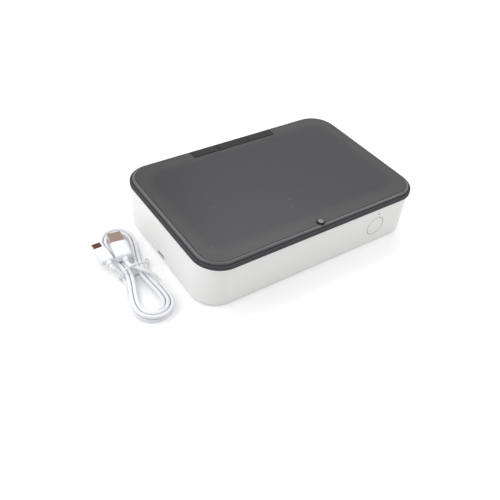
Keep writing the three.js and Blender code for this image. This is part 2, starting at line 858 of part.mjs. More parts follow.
// Stud and the magnet in its end
const stud_top = lid_top + stud_head_height;
const stud_seat = lid_top - stud_counterbore;
const stud_end = stud_seat - stud_stem_length;

function makeStud() {
  const rim = stud_top - stud_dome;
  const profile = [
    [0, stud_end], [stud_stem_radius, stud_end], [stud_stem_radius, stud_seat],
    [stud_radius, stud_seat], [stud_radius, rim],
  ];
  for (const [cut, rise] of quarterRound(stud_dome, 3).reverse().slice(1)) {
    profile.push([stud_radius - cut, stud_top - rise]);
  }
  profile.push([0, stud_top]);
  const stud = turned(profile, 28);
  const bore = rod(magnet_radius + seat_gap, stud_end - overrun,
    stud_end + magnet_height + seat_gap, 16);
  return stud.subtract(bore).translate([0, stud_y, 0]);
}

function makeMagnet() {
  return rod(magnet_radius, stud_end, stud_end + magnet_height, 16).translate([0, stud_y, 0]);
}

function makeLidSensor() {
  const half = sensor_length / 2;
  const end = half + sensor_lead_length;
  return joinAll([
    rodAlongX(sensor_radius, -half, half, stud_y, sensor_z, 12),
    rodAlongX(sensor_lead_radius, -end, end, stud_y, sensor_z, 6),
  ]);
}

// Hinge pieces: one outline in Y and Z, drawn with and without the leaf. It is round about the
// pin below, and slopes down at the back as the lid's shoulder does.
function knuckleOutline(withLeaf) {
  const r = hinge_swing_radius;
  const slope_z = lid_top - hinge_slope_drop;
  const slope_y = pin_y + Math.sqrt(r * r - (slope_z - pin_z) ** 2);
  const slope_angle = Math.atan2(slope_z - pin_z, slope_y - pin_y);
  const flat_end_y = pin_y + hinge_flat_past_pin;
  const low = withLeaf ? panel_bottom - seat_gap - leaf_thickness : deck_top + seat_gap;
  const shape = new THREE.Shape();
  if (withLeaf) {
    const start_y = pin_y - Math.sqrt(r * r - (pin_z - low) ** 2);
    shape.moveTo(hinge_front_y - leaf_reach, low);
    shape.lineTo(start_y, low);
    shape.absarc(pin_y, pin_z, r, Math.atan2(low - pin_z, start_y - pin_y), slope_angle);
    shape.lineTo(flat_end_y, lid_top);
    shape.lineTo(hinge_front_y + hinge_edge, lid_top);
    shape.lineTo(hinge_front_y, lid_top - hinge_edge);
    shape.lineTo(hinge_front_y, panel_bottom - seat_gap);
    shape.lineTo(hinge_front_y - leaf_reach, panel_bottom - seat_gap);
  } else {
    const rim_y = body_depth / 2 - rim_lip - seat_gap;
    const rise = Math.sqrt(r * r - (rim_y - pin_y) ** 2);
    shape.moveTo(hinge_front_y, low);
    shape.lineTo(rim_y, low);
    shape.absarc(pin_y, pin_z, r, Math.atan2(-rise, rim_y - pin_y), slope_angle);
    shape.lineTo(flat_end_y, lid_top);
    shape.lineTo(hinge_front_y + hinge_edge, lid_top);
    shape.lineTo(hinge_front_y, lid_top - hinge_edge);
  }
  shape.closePath();
  return shape;
}

function makeHingeBlock(side) {
  const inner = hinge_middle_width / 2 + hinge_line_gap / 2;
  const outer = hinge_width / 2;
  const body = prismAlongX(knuckleOutline(false), inner, outer, 8);
  const bore = rodAlongX(pin_radius + seat_gap, inner - overrun, outer - pin_end_wall,
    pin_y, pin_z, 16);
  const pegs = pegPlaces().filter(([x]) => x > 0).map(([x, y]) => turned([
    [0, deck_bottom - seat_gap - peg_head_height],
    [peg_head_radius, deck_bottom - seat_gap - peg_head_height],
    [peg_head_radius, deck_bottom - seat_gap],
    [peg_radius, deck_bottom - seat_gap],
    [peg_radius, deck_top + seat_gap + overrun],
    [0, deck_top + seat_gap + overrun],
  ], 16).translate([x, y, 0]));
  const piece = joinAll([body.subtract(bore), ...pegs]);
  return side > 0 ? piece : piece.mirror([1, 0, 0]);
}

function makeHingeLeaf() {
  const half = hinge_middle_width / 2 - hinge_line_gap / 2;
  const body = prismAlongX(knuckleOutline(true), -half, half, 8);
  const bore = rodAlongX(pin_radius + seat_gap, -half - overrun, half + overrun,
    pin_y, pin_z, 16);
  const low = panel_bottom - seat_gap - leaf_thickness;
  const holes = leafScrewPlaces().map(([x, y]) => joinAll([
    rod(leaf_screw_radius + seat_gap, low - overrun, panel_bottom + overrun, 12),
    rod(leaf_screw_head_radius + seat_gap, low - overrun, low + leaf_screw_head_height, 16),
  ]).translate([x, y, 0]));
  return cutAll(body, [bore, ...holes]);
}

function makeLeafScrew() {
  const low = panel_bottom - seat_gap - leaf_thickness;
  const head_top = low + leaf_screw_head_height - seat_gap;
  const tip = panel_bottom + leaf_screw_bite;
  const screw = turned([
    [0, low], [leaf_screw_head_radius, low], [leaf_screw_head_radius, head_top],
    [leaf_screw_radius, head_top], [leaf_screw_radius, tip], [0, tip],
  ], 16);
  const drive = rod(leaf_screw_radius, low - overrun, low + leaf_screw_drive_depth, 6);
  return screw.subtract(drive);
}

function makeHingePin() {
  const half = hinge_width / 2 - pin_end_wall - seat_gap;
  return rodAlongX(pin_radius, -half, half, pin_y, pin_z, 16);
}

// Power button: its face follows the drafted wall
function makePowerButton() {
  const face = rodAlongY(button_radius, button_x, front_wall_y - overrun,
    button_flange_y + overrun / 2, button_height, 40).intersect(bodySkin(button_skin));
  const flange = rodAlongY(button_flange_radius, button_x, button_flange_y,
    button_flange_y + button_flange, button_height, 40);
  const stem = rodAlongY(button_stem_radius, button_x, button_flange_y + button_flange / 2,
    stem_end_y, button_height, 16);
  return joinAll([face, flange, stem]);
}

function makePlunger() {
  return rodAlongY(plunger_radius, button_x, plunger_y, plunger_y + plunger_length,
    button_height, 16);
}

function makeTactSwitch() {
  const half = switch_size / 2;
  const body = block(button_x - half, button_x + half, switch_y, switch_y + switch_depth,
    button_height - half, button_height + half);
  const bore = rodAlongY(switch_bore_radius, button_x, switch_y - overrun,
    switch_y + switch_bore_depth, button_height, 16);
  return body.subtract(bore);
}

function makeButtonBoard() {
  const half = button_board_width / 2;
  const low = button_board_z - button_board_height / 2;
  const board = block(button_x - half, button_x + half, button_board_y,
    button_board_y + board_thickness, low, low + button_board_height);
  const holes = [];
  for (const side of [-1, 1]) {
    for (const level of [-1, 1]) {
      holes.push(rodAlongY(board_hole_radius, button_x + side * board_boss_spread_x,
        button_board_y - overrun, button_board_y + board_thickness + overrun,
        button_board_z + level * board_boss_spread_z, 12));
    }
  }
  return cutAll(board, holes);
}

const led_front_y = button_board_y - seat_gap - led_length;

function makeIndicatorLed() {
  const flange_radius = led_radius * led_flange_share;
  const flange_front = led_length - led_flange;
  const dome = turned([
    [0, 0], [led_radius * led_nose_share, led_radius * led_nose_rise_share],
    [led_radius, led_radius], [led_radius, flange_front],
    [flange_radius, flange_front], [flange_radius, led_length], [0, led_length],
  ], 16);
  return dome.rotate(y_axis_turn).translate([indicator_x, led_front_y, indicator_height]);
}

function makeIndicatorLens() {
  const lean = body_draft * (1 - (indicator_height - body_bottom) / body_height);
  const inner = -(body_depth / 2 - lean) + body_wall + seat_gap;
  const tip = rodAlongY(lens_radius, indicator_x, front_wall_y - overrun, inner + lens_flange / 2,
    indicator_height, 12).intersect(bodySkin(button_skin));
  const flange = rodAlongY(lens_flange_radius, indicator_x, inner, inner + lens_flange,
    indicator_height, 12);
  const guide = rodAlongY(lens_radius, indicator_x, inner + lens_flange / 2,
    led_front_y - seat_gap, indicator_height, 12);
  return joinAll([tip, flange, guide]);
}

// Main board with its socket and controller
const port_face_x = -(body_width / 2 - body_draft) + port_set_back;

function makeUsbSocket() {
  const shell = prismAlongX(slotShape(port_width, port_thickness),
    port_face_x, port_face_x + port_depth, 6);
  const mouth = prismAlongX(
    slotShape(port_width - 2 * port_shell, port_thickness - 2 * port_shell),
    port_face_x - overrun, port_face_x + port_depth - port_shell, 6);
  const tongue = block(port_face_x + port_depth - port_shell - port_tongue_length,
    port_face_x + port_depth - port_shell / 2,
    -port_tongue_width / 2, port_tongue_width / 2,
    -port_tongue_thickness / 2, port_tongue_thickness / 2);
  return shell.subtract(mouth).add(tongue).translate([0, 0, port_height]);
}

function makeMainBoard() {
  const length = main_board_length;
  return prism(roundedRect(length / 2, main_board_width / 2, main_board_corner),
    main_board_z, main_board_z + board_thickness, 3)
    .translate([main_board_left + length / 2, 0, 0]);
}

function makeController() {
  const x = main_board_left + chip_x;
  const top = main_board_z - seat_gap;
  return block(x - chip_size / 2, x + chip_size / 2, -chip_size / 2, chip_size / 2,
    top - chip_thickness, top);
}

function makeDriverBoard() {
  return prism(roundedRect(driver_board_length / 2, driver_board_width / 2, main_board_corner),
    main_board_z, main_board_z + board_thickness, 3).translate([driver_board_x, 0, 0]);
}

function makeTransformer() {
  const x = driver_board_x + coil_form_x;
  const bottom = main_board_z + board_thickness + seat_gap;
  const top = tray_underside - seat_gap;
  const core = block(x - coil_form_length / 2, x + coil_form_length / 2,
    -coil_form_width / 2, coil_form_width / 2, bottom, top);
  const half = coil_form_length * coil_winding_share / 2;
  const waists = [-1, 1].map((side) => block(x - half, x + half,
    side * coil_form_width / 2 - coil_winding_drop,
    side * coil_form_width / 2 + coil_winding_drop,
    bottom - overrun, top + overrun));
  return cutAll(core, waists);
}

// Charging lead. The plugs lie flat and point away from the front.
function plugBlock(width, length, thickness) {
  const shape = roundedRect(width / 2, thickness / 2, thickness * plug_corner_share);
  const inset = plug_edge * plug_edge_share;
  const geometry = new THREE.ExtrudeGeometry(shape, {
    depth: length - 2 * plug_edge, bevelEnabled: true, curveSegments: 3,
    bevelThickness: plug_edge, bevelSize: inset, bevelOffset: -inset, bevelSegments: 2,
  });
  geometry.translate(0, 0, plug_edge);
  return solid(geometry);
}

// A plug's pieces are drawn upright, tail down, and then laid along +Y
function layPlug(piece, plug) {
  return piece.rotate(y_axis_turn).rotate([0, 0, plug.turn]).translate([plug.x, plug.y, plug.z]);
}

function makeOvermould(width, length, thickness) {
  const collar = turned([
    [0, -plug_collar_length],
    [plug_collar_radius * plug_collar_taper_share, -plug_collar_length],
    [plug_collar_radius, 0], [plug_collar_radius, plug_collar_root], [0, plug_collar_root],
  ], 16);
  return plugBlock(width, length, thickness).add(collar);
}

function makeCPlugShell() {
  const from = c_mould_length + seat_gap;
  const outside = solid(new THREE.ExtrudeGeometry(slotShape(c_shell_width, c_shell_thickness), {
    depth: c_shell_length, bevelEnabled: false, curveSegments: 6,
  }));
  const inside = solid(new THREE.ExtrudeGeometry(
    slotShape(c_shell_width - 2 * c_shell_wall, c_shell_thickness - 2 * c_shell_wall), {
      depth: c_shell_length, bevelEnabled: false, curveSegments: 6,
    })).translate([0, 0, c_shell_wall]);
  return outside.subtract(inside).translate([0, 0, from]);
}

function makeAPlugShell() {
  const from = a_mould_length + seat_gap;
  const half_w = a_shell_width / 2;
  const half_t = a_shell_thickness / 2;
  const outside = block(-half_w, half_w, -half_t, half_t, 0, a_shell_length);
  const inside = block(-half_w + a_shell_wall, half_w - a_shell_wall,
    -half_t + a_shell_wall, half_t - a_shell_wall, a_shell_wall, a_shell_length + overrun);
  const tongue = block(-half_w + a_shell_wall / 2, half_w - a_shell_wall / 2,
    -half_t + a_shell_wall / 2, -half_t + a_shell_thickness * a_tongue_share,
    a_shell_wall / 2, a_shell_length - 2 * a_shell_wall);
  return outside.subtract(inside).add(tongue).translate([0, 0, from]);
}

// Hank: one cord wound in nested loops, in two layers. A turn is counted in steps from the
// waist's left side: down the near run, round the near lobe, up both right runs, round the
// far lobe and down the far run. Each lobe is a half circle, and each run eases to the waist.
const run_steps = 3;
const arc_steps = 6;
const half_turn_steps = 2 * run_steps + arc_steps;

function easedWidth(lobe, waist, share) {
  return waist + (lobe - waist) * (1 - Math.cos(Math.PI * share)) / 2;
}

function hankPoint(step) {
  const turns = (step - hank_start_step) / hank_steps;
  const offset = cord_pitch * Math.min(turns, hank_turns - turns);
  const near = hank_near_half_width - offset;
  const far = hank_far_half_width - offset;
  const waist = hank_waist_half_width - offset;
  const near_run = hank_near_reach - hank_near_half_width;
  const far_run = hank_far_reach - hank_far_half_width;
  const place = step % hank_steps;
  let along = 0;
  let across = 0;
  if (place <= run_steps) {
    along = -near_run * place / run_steps;
    across = -easedWidth(near, waist, place / run_steps);
  } else if (place <= run_steps + arc_steps) {
    const angle = Math.PI * (place - run_steps) / arc_steps;
    along = -near_run - near * Math.sin(angle);
    across = -near * Math.cos(angle);
  } else if (place <= half_turn_steps) {
    const share = (half_turn_steps - place) / run_steps;
    along = -near_run * share;
    across = easedWidth(near, waist, share);
  } else if (place <= half_turn_steps + run_steps) {
    const share = (place - half_turn_steps) / run_steps;
    along = far_run * share;
    across = easedWidth(far, waist, share);
  } else if (place <= half_turn_steps + run_steps + arc_steps) {
    const angle = Math.PI * (place - half_turn_steps - run_steps) / arc_steps;
    along = far_run + far * Math.sin(angle);
    across = far * Math.cos(angle);
  } else {
    const share = (hank_steps - place) / run_steps;
    along = far_run * share;
    across = -easedWidth(far, waist, share);
  }
  const climb_share = (turns - hank_turns / 2) / hank_climb_turns + 0.5;
  const climbed = THREE.MathUtils.smoothstep(climb_share, 0, 1);
  const near_waist = Math.max(0, 1 - Math.abs(along) / hank_waist_length);
  const lift = hank_waist_lift * THREE.MathUtils.smoothstep(near_waist, 0, 1);
  return placeOnHank(along, across, cord_radius + cord_pitch * climbed + lift);
}

// Along and across the hank's own length, at a height, to the model's frame
function placeOnHank(along, across, height) {
  const turn = THREE.MathUtils.degToRad(hank_turn);
  return new THREE.Vector3(
    hank_x + across * Math.cos(turn) - along * Math.sin(turn),
    hank_y + across * Math.sin(turn) + along * Math.cos(turn),
    height);
}

function hankPath() {
  const path = [];
  const last_step = hank_start_step + hank_turns * hank_steps;
  for (let step = hank_start_step; step <= last_step; step += 1) path.push(hankPoint(step));
  const before = path[0].clone().sub(path[1]).setZ(0).setLength(cord_diameter);
  const after = path.at(-1).clone().sub(path.at(-2)).setZ(0).setLength(cord_diameter);
  return [path[0].clone().add(before), ...path, path.at(-1).clone().add(after)];
}

// An unbroken tube of flat-sided rings through the points of a path
function ringedTube(path, radius, sides) {
  const up = new THREE.Vector3(0, 0, 1);
  const corners = [];
  const faces = [];
  path.forEach((point, i) => {
    const behind = path[Math.max(i - 1, 0)];
    const ahead = path[Math.min(i + 1, path.length - 1)];
    const along = ahead.clone().sub(behind).normalize();
    const across = along.clone().cross(up).normalize();
    const upright = across.clone().cross(along);
    for (let k = 0; k < sides; k += 1) {
      const angle = (k + 0.5) / sides * 2 * Math.PI;
      const corner = point.clone()
        .addScaledVector(across, radius * Math.cos(angle))
        .addScaledVector(upright, radius * Math.sin(angle));
      corners.push(corner.x, corner.y, corner.z);
    }
  });
  for (let i = 0; i + 1 < path.length; i += 1) {
    for (let k = 0; k < sides; k += 1) {
      const a = i * sides + k;
      const b = i * sides + ((k + 1) % sides);
      faces.push(a, a + sides, b + sides, a, b + sides, b);
    }
  }
  const last = (path.length - 1) * sides;
  for (let k = 1; k + 1 < sides; k += 1) {
    faces.push(0, k, k + 1);
    faces.push(last, last + k + 1, last + k);
  }
  const geometry = new THREE.BufferGeometry();
  geometry.setAttribute('position', new THREE.BufferAttribute(new Float32Array(corners), 3));
  geometry.setIndex(faces);
  geometry.computeVertexNormals();
  return geometry;
}

// Least distance between two stretches of the same cord, less its thickness
function leastSelfGap(path) {
  const points = [];
  let travelled = 0;
  for (let i = 0; i + 1 < path.length; i += 1) {
    const step = path[i + 1].clone().sub(path[i]);
    for (let k = 0; k < gap_samples; k += 1) {
      const share = k / gap_samples;
      points.push({
        at: path[i].clone().addScaledVector(step, share),
        run: travelled + step.length() * share,
      });
    }
    travelled += step.length();
  }
  let least = Infinity;
  for (let i = 0; i < points.length; i += 1) {
    for (let j = i + 1; j < points.length; j += 1) {
      if (points[j].run - points[i].run > same_stretch_share * cord_diameter) {
        least = Math.min(least, points[i].at.distanceTo(points[j].at));
      }
    }
  }
  return { gap: least - cord_diameter, length: travelled };
}

function cordAlong(points, radius = cord_radius) {
  const curve = new THREE.CatmullRomCurve3(points.map((p) => new THREE.Vector3(...p)));
  const section = new THREE.Shape();
  section.absarc(0, 0, radius, 0, 2 * Math.PI);
  const steps = Math.max(2, Math.round(curve.getLength() / (radius * cord_step_radii)));
  const geometry = new THREE.ExtrudeGeometry(section, {
    extrudePath: curve, steps, curveSegments: 4, bevelEnabled: false,
  });
  return solid(geometry);
}

// A plug's cord leaves its collar straight, and meets the hank's end straight, for one diameter
function plugTail(plug) {
  const turn = THREE.MathUtils.degToRad(plug.turn);
  return [0, cord_diameter].map((extra) => {
    const reach = plug_collar_length + seat_gap + extra;
    return [plug.x + Math.sin(turn) * reach, plug.y - Math.cos(turn) * reach, plug.z];
  });
}

function hankTail(end, next) {
  const out = end.clone().sub(next).normalize();
  return [cord_diameter + seat_gap, seat_gap].map((reach) => end.clone()
    .addScaledVector(out, reach).toArray());
}

const hank_line = hankPath();
const hank_measure = leastSelfGap(hank_line);
console.log(`hank: ${hank_measure.length.toFixed(0)} mm of cord, `
  + `least gap to itself ${hank_measure.gap.toFixed(2)} mm`);

add('outer_shell', makeOuterShell(), white_shell);
add('bottom_cover', makeBottomCover(), white_shell);
add('inner_tray', makeInnerTray(), tray_grey);
cornerPlaces(foot_x, foot_y).forEach(([x, y], i) => {
  add(`rubber_foot_${i + 1}`, makeFoot(), rubber).position.set(x, y, 0);
});
cornerPlaces(screw_x, screw_y).forEach(([x, y], i) => {
  add(`cover_screw_${i + 1}`, makeCoverScrew(), steel).position.set(x, y, 0);
});

const lamp = new THREE.Group();
box_assembly.add(lamp);
add('reflector', makeReflector(), polished, lamp);
add('uv_lamp_tube', makeLampTube(), lamp_glass, lamp);
add('lamp_cap_left', makeLampCap(-1), steel, lamp);
add('lamp_cap_right', makeLampCap(1), steel, lamp);
add('lamp_holder_left', makeLampHolder(-1), ceramic, lamp);
add('lamp_holder_right', makeLampHolder(1), ceramic, lamp);

const lid_group = new THREE.Group();
box_assembly.add(lid_group);
add('lid', makeLid(), smoky_lid, lid_group);
add('hinge_leaf', makeHingeLeaf(), hinge_grey, lid_group);
leafScrewPlaces().forEach(([x, y], i) => {
  add(`leaf_screw_${i + 1}`, makeLeafScrew(), steel, lid_group).position.set(x, y, 0);
});
add('lid_stud', makeStud(), stud_grey, lid_group);
add('lid_magnet', makeMagnet(), steel, lid_group);
add('hinge_block_left', makeHingeBlock(-1), hinge_grey);
add('hinge_block_right', makeHingeBlock(1), hinge_grey);
add('hinge_pin', makeHingePin(), steel);
add('lid_sensor', makeLidSensor(), lens_white);

add('power_button', makePowerButton(), white_shell);
add('switch_plunger', makePlunger(), black_part);
add('tact_switch', makeTactSwitch(), black_part);
add('button_board', makeButtonBoard(), board_green);
add('indicator_led', makeIndicatorLed(), lens_white);
add('indicator_lens', makeIndicatorLens(), lens_white);

add('main_board', makeMainBoard(), board_green);
add('usb_socket', makeUsbSocket(), steel);
add('controller_chip', makeController(), black_part);
add('driver_board', makeDriverBoard(), board_green);
add('driver_transformer', makeTransformer(), copper);

const lead = new THREE.Group();
box_assembly.add(lead);
const c_mould = makeOvermould(c_mould_width, c_mould_length, c_mould_thickness);
const a_mould = makeOvermould(a_mould_width, a_mould_length, a_mould_thickness);
add('plug_c_mould', layPlug(c_mould, c_plug), cord_white, lead);
add('plug_c_shell', layPlug(makeCPlugShell(), c_plug), steel, lead);
add('plug_a_mould', layPlug(a_mould, a_plug), cord_white, lead);
add('plug_a_shell', layPlug(makeAPlugShell(), a_plug), steel, lead);
add('cord_hank', ringedTube(hank_line, cord_radius, hank_sides), cord_white, lead);
add('cord_from_plug_c', cordAlong([
  ...plugTail(c_plug), ...plug_c_route, ...hankTail(hank_line[0], hank_line[1]),
]), cord_white, lead);
add('cord_from_plug_a', cordAlong([
  ...plugTail(a_plug), ...plug_a_route, ...hankTail(hank_line.at(-1), hank_line.at(-2)),
]), cord_white, lead);
add('cord_tie', cordAlong(tie_route, tie_radius), cord_white, lead);

export default box_assembly;
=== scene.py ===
# %% [markdown]
# A box that cleans a phone with ultraviolet light: a white moulded housing, a smoky lid on a
# hinge, a round button in the front wall, and the charging lead tied up beside it.
# The engineering solids come in first as a fixed frame. Everything made below is fitted to them.

# %% The frame
import math
import bmesh
import bpy
from mathutils import Matrix, Vector


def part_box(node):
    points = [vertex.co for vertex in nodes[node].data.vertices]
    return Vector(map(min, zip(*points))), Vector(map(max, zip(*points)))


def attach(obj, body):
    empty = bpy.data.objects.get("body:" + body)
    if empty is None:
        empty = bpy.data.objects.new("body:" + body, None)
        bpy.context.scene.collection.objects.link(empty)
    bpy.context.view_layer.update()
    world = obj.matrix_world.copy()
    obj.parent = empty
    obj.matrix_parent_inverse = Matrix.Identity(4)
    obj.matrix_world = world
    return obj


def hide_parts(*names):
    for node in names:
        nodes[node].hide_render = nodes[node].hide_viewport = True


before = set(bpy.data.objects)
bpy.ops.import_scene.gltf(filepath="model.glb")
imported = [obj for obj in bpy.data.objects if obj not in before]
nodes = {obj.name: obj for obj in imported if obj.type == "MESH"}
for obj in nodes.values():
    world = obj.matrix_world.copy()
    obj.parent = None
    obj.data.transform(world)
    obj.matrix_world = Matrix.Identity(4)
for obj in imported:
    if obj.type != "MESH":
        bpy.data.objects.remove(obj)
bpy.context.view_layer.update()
MM = 0.001
print("pieces in the frame:", len(nodes))

# %% [markdown]
# The camera looks from the front left, a little over half a metre away, tipped down and
# rolled slightly. Its angles are those at which the outline of the box matches the picture.

# %% Camera
camera_place = (-0.3091, -0.3494, 0.3819)
camera_tilt, camera_roll, camera_turn = 49.59, -4.39, -33.09
camera_lens = 45.76
camera_shift_x, camera_shift_y = 0.0479, -0.0506

camera = bpy.data.objects.new("camera", bpy.data.cameras.new("camera"))
bpy.context.scene.collection.objects.link(camera)
camera.location = camera_place
camera.rotation_euler = [math.radians(a) for a in (camera_tilt, camera_roll, camera_turn)]
camera.data.lens = camera_lens
camera.data.shift_x, camera.data.shift_y = camera_shift_x, camera_shift_y
camera.data.clip_start = 0.01
bpy.context.scene.camera = camera
print("camera height", round(camera.location.z, 3), "m")

# %% [markdown]
# The lead is one thin white cord with a plug at each end. It is wound into a hank of a little over
# four loops in two layers and tied at its waist. A formula gives the loops, and a few listed points
# give the two free ends. A smooth curve with a round section follows them.

# %% Sizes of the cord and its hank
cord_radius = 1.6 * MM
cord_gap = 0.55 * MM
cord_pitch = 2 * cord_radius + cord_gap
hank_middle = Vector((-142.4, -8, 0)) * MM
hank_turn = math.radians(-5.5)
far_reach, near_reach = 58 * MM, 54 * MM
far_half, near_half, waist_half = 16.5 * MM, 16.2 * MM, 10 * MM
waist_lift, waist_length = 1.6 * MM, 22 * MM
hank_turns = 4 + 1 / 3
steps_a_turn, first_step = 24, 2
run_steps, arc_steps = 3, 6
half_turn_steps = 2 * run_steps + arc_steps
climb_turns = 0.5
print("one turn takes", steps_a_turn, "steps,", round(hank_turns, 2), "turns in all")

# %% Winding of the hank
def smoothstep(value):
    share = min(1, max(0, value))
    return share * share * (3 - 2 * share)


def eased(lobe, waist, share):
    return waist + (lobe - waist) * (1 - math.cos(math.pi * share)) / 2


def hank_point(step):
    turns = (step - first_step) / steps_a_turn
    offset = cord_pitch * min(turns, hank_turns - turns)
    near, far, waist = near_half - offset, far_half - offset, waist_half - offset
    near_run, far_run = near_reach - near_half, far_reach - far_half
    place = step % steps_a_turn
    if place <= run_steps:
        along = -near_run * place / run_steps
        across = -eased(near, waist, place / run_steps)
    elif place <= run_steps + arc_steps:
        angle = math.pi * (place - run_steps) / arc_steps
        along = -near_run - near * math.sin(angle)
        across = -near * math.cos(angle)
    elif place <= half_turn_steps:
        share = (half_turn_steps - place) / run_steps
        along, across = -near_run * share, eased(near, waist, share)
    elif place <= half_turn_steps + run_steps:
        share = (place - half_turn_steps) / run_steps
        along, across = far_run * share, eased(far, waist, share)
    elif place <= half_turn_steps + run_steps + arc_steps:
        angle = math.pi * (place - half_turn_steps - run_steps) / arc_steps
        along = far_run + far * math.sin(angle)
        across = far * math.cos(angle)
    else:
        share = (steps_a_turn - place) / run_steps
        along, across = far_run * share, -eased(far, waist, share)
    climb = smoothstep((turns - hank_turns / 2) / climb_turns + 0.5)
    lift = waist_lift * smoothstep(max(0, 1 - abs(along) / waist_length))
    turned = Matrix.Rotation(hank_turn, 3, "Z") @ Vector((across, along, 0))
    return hank_middle + turned + Vector((0, 0, cord_radius + cord_pitch * climb + lift))


hank_steps = range(first_step, round(first_step + hank_turns * steps_a_turn) + 1)
hank_line = [hank_point(step) for step in hank_steps]
print("hank points:", len(hank_line))

# %% [markdown]
# Each plug is laid flat with its tail towards the viewer. The cord leaves the tail straight, dips
# to the hank along the listed points, and joins the end of the winding.

# %% Route of the cord from plug to plug
seat_gap = 0.3 * MM
collar_length = 4 * MM
plug_c = {"place": Vector((-159.2, 7.5, 10.4)) * MM, "turn": math.radians(1)}
plug_a = {"place": Vector((-145.4, 4.5, 11.2)) * MM, "turn": math.radians(-8)}
route_c = [Vector(p) * MM for p in ((-156, -3.6, 6.8), (-153.7, -8.6, 3.9), (-154.7, -17, 2.3))]
route_a = [Vector(p) * MM for p in ((-143.6, -8, 11.5), (-138, -15.5, 11.2), (-132.8, -22, 8.8))]


def plug_tail(plug):
    back = Vector((math.sin(plug["turn"]), -math.cos(plug["turn"]), 0))
    start = plug["place"] + back * (collar_length + seat_gap)
    return [start, start + back * 2 * cord_radius]


def straight_end(end, before):
    out = (end - before).normalized()
    return [end + out * 2 * cord_radius, end + out * 4 * cord_radius]


def cord_curve(name, points, radius):
    curve = bpy.data.curves.new(name, "CURVE")
    curve.dimensions = "3D"
    curve.resolution_u = 5
    curve.bevel_depth = radius
    curve.bevel_resolution = 5
    curve.use_fill_caps = True
    spline = curve.splines.new("BEZIER")
    spline.bezier_points.add(len(points) - 1)
    for bezier, point in zip(spline.bezier_points, points):
        bezier.co = point
        bezier.handle_left_type = bezier.handle_right_type = "AUTO"
    piece = bpy.data.objects.new(name, curve)
    bpy.context.scene.collection.objects.link(piece)
    return piece


start_c = straight_end(hank_line[0], hank_line[1])
start_a = straight_end(hank_line[-1], hank_line[-2])
whole_line = (plug_tail(plug_c) + route_c + start_c[::-1] + hank_line + start_a
              + route_a[::-1] + plug_tail(plug_a)[::-1])
charging_cord = cord_curve("charging_cord", whole_line, cord_radius)

# %% [markdown]
# Moulded pieces start as a flat face with rounded corners. Raising the face makes walls,
# insetting it makes ledges and grooves, and a bevel rounds an edge. A piece could also be cut
# out of a block, but this way each ledge and radius keeps its own size and can be changed
# alone. These few helpers keep each later cell down to the steps that shape that piece. Two
# points closer than a hair count as the same point, because places are stored with small
# rounding errors.

# %% Helpers that shape a face
hair = 1e-7


def rounded_face(bm, half_x, half_y, radius, z, segments=16):
    corners = bmesh.ops.create_grid(bm, x_segments=1, y_segments=1, size=1)["verts"]
    bmesh.ops.scale(bm, vec=(half_x, half_y, 1), verts=corners)
    bmesh.ops.translate(bm, vec=(0, 0, z), verts=corners)
    bmesh.ops.bevel(bm, geom=corners, offset=radius, offset_type="OFFSET", segments=segments,
                    profile=0.5, affect="VERTICES", material=-1)
    return [f for f in bm.faces if f.is_valid and abs(f.calc_center_median().z - z) < hair][-1]


def raise_face(bm, face, height):
    lifted = bmesh.ops.extrude_face_region(bm, geom=[face])["geom"]
    if face.is_valid and all(len(e.link_faces) > 2 for e in face.edges):
        bmesh.ops.delete(bm, geom=[face], context="FACES_ONLY")
    verts = [g for g in lifted if isinstance(g, bmesh.types.BMVert)]
    bmesh.ops.translate(bm, vec=(0, 0, height), verts=verts)
    return [g for g in lifted if isinstance(g, bmesh.types.BMFace)][0]


def step_in(bm, face, width, depth=0.0):
    bmesh.ops.inset_region(bm, faces=[face], thickness=width, depth=depth,
                           use_boundary=True, use_even_offset=True)
    return face


def rounded_rise(bm, face, radius, steps):
    angles = [math.pi / 2 * step / steps for step in range(steps + 1)]
    for low, high in zip(angles, angles[1:]):
        step_in(bm, face, radius * (math.cos(low) - math.cos(high)),
                radius * (math.sin(high) - math.sin(low)))
    return face


def round_edges(bm, edges, radius, segments=5):
    bmesh.ops.bevel(bm, geom=list(edges), offset=radius, offset_type="OFFSET",
                    segments=segments, profile=0.5, affect="EDGES", material=-1)


def flat_face(bm, z):
    flat = [f for f in bm.faces if all(abs(v.co.z - z) < hair for v in f.verts)]
    return max(flat, key=lambda f: f.calc_area())


print("points closer than", hair, "m count as one")

# %% [markdown]
# A round piece is turned as on a lathe: half of its outline is drawn once and spun about a
# line. Holes and notches are cut with plain blocks and rods, because a hole that crosses a
# leaning or rounded wall then gets its true edge without any counting of faces.

# %% Helpers that make, turn and cut pieces
def piece_from(bm, name):
    bmesh.ops.recalc_face_normals(bm, faces=bm.faces)
    mesh = bpy.data.meshes.new(name)
    bm.to_mesh(mesh)
    bm.free()
    piece = bpy.data.objects.new(name, mesh)
    bpy.context.scene.collection.objects.link(piece)
    return piece


def spun(bm, profile, axis, centre, steps):
    points = [bm.verts.new(p) for p in profile]
    edges = [bm.edges.new(pair) for pair in zip(points, points[1:])]
    bmesh.ops.spin(bm, geom=points + edges, cent=centre, axis=axis, angle=2 * math.pi,
                   steps=steps, use_merge=True)
    bmesh.ops.remove_doubles(bm, verts=bm.verts, dist=hair)
    bmesh.ops.recalc_face_normals(bm, faces=bm.faces)


def apply_modifiers(piece):
    graph = bpy.context.evaluated_depsgraph_get()
    finished = bpy.data.meshes.new_from_object(piece.evaluated_get(graph))
    piece.modifiers.clear()
    piece.data = finished


def cut_away(piece, *cutters):
    for cutter in cutters:
        cut = piece.modifiers.new("cut", "BOOLEAN")
        cut.operation = "DIFFERENCE"
        cut.solver = "EXACT"
        cut.object = cutter
    apply_modifiers(piece)
    for cutter in cutters:
        bpy.data.objects.remove(cutter)


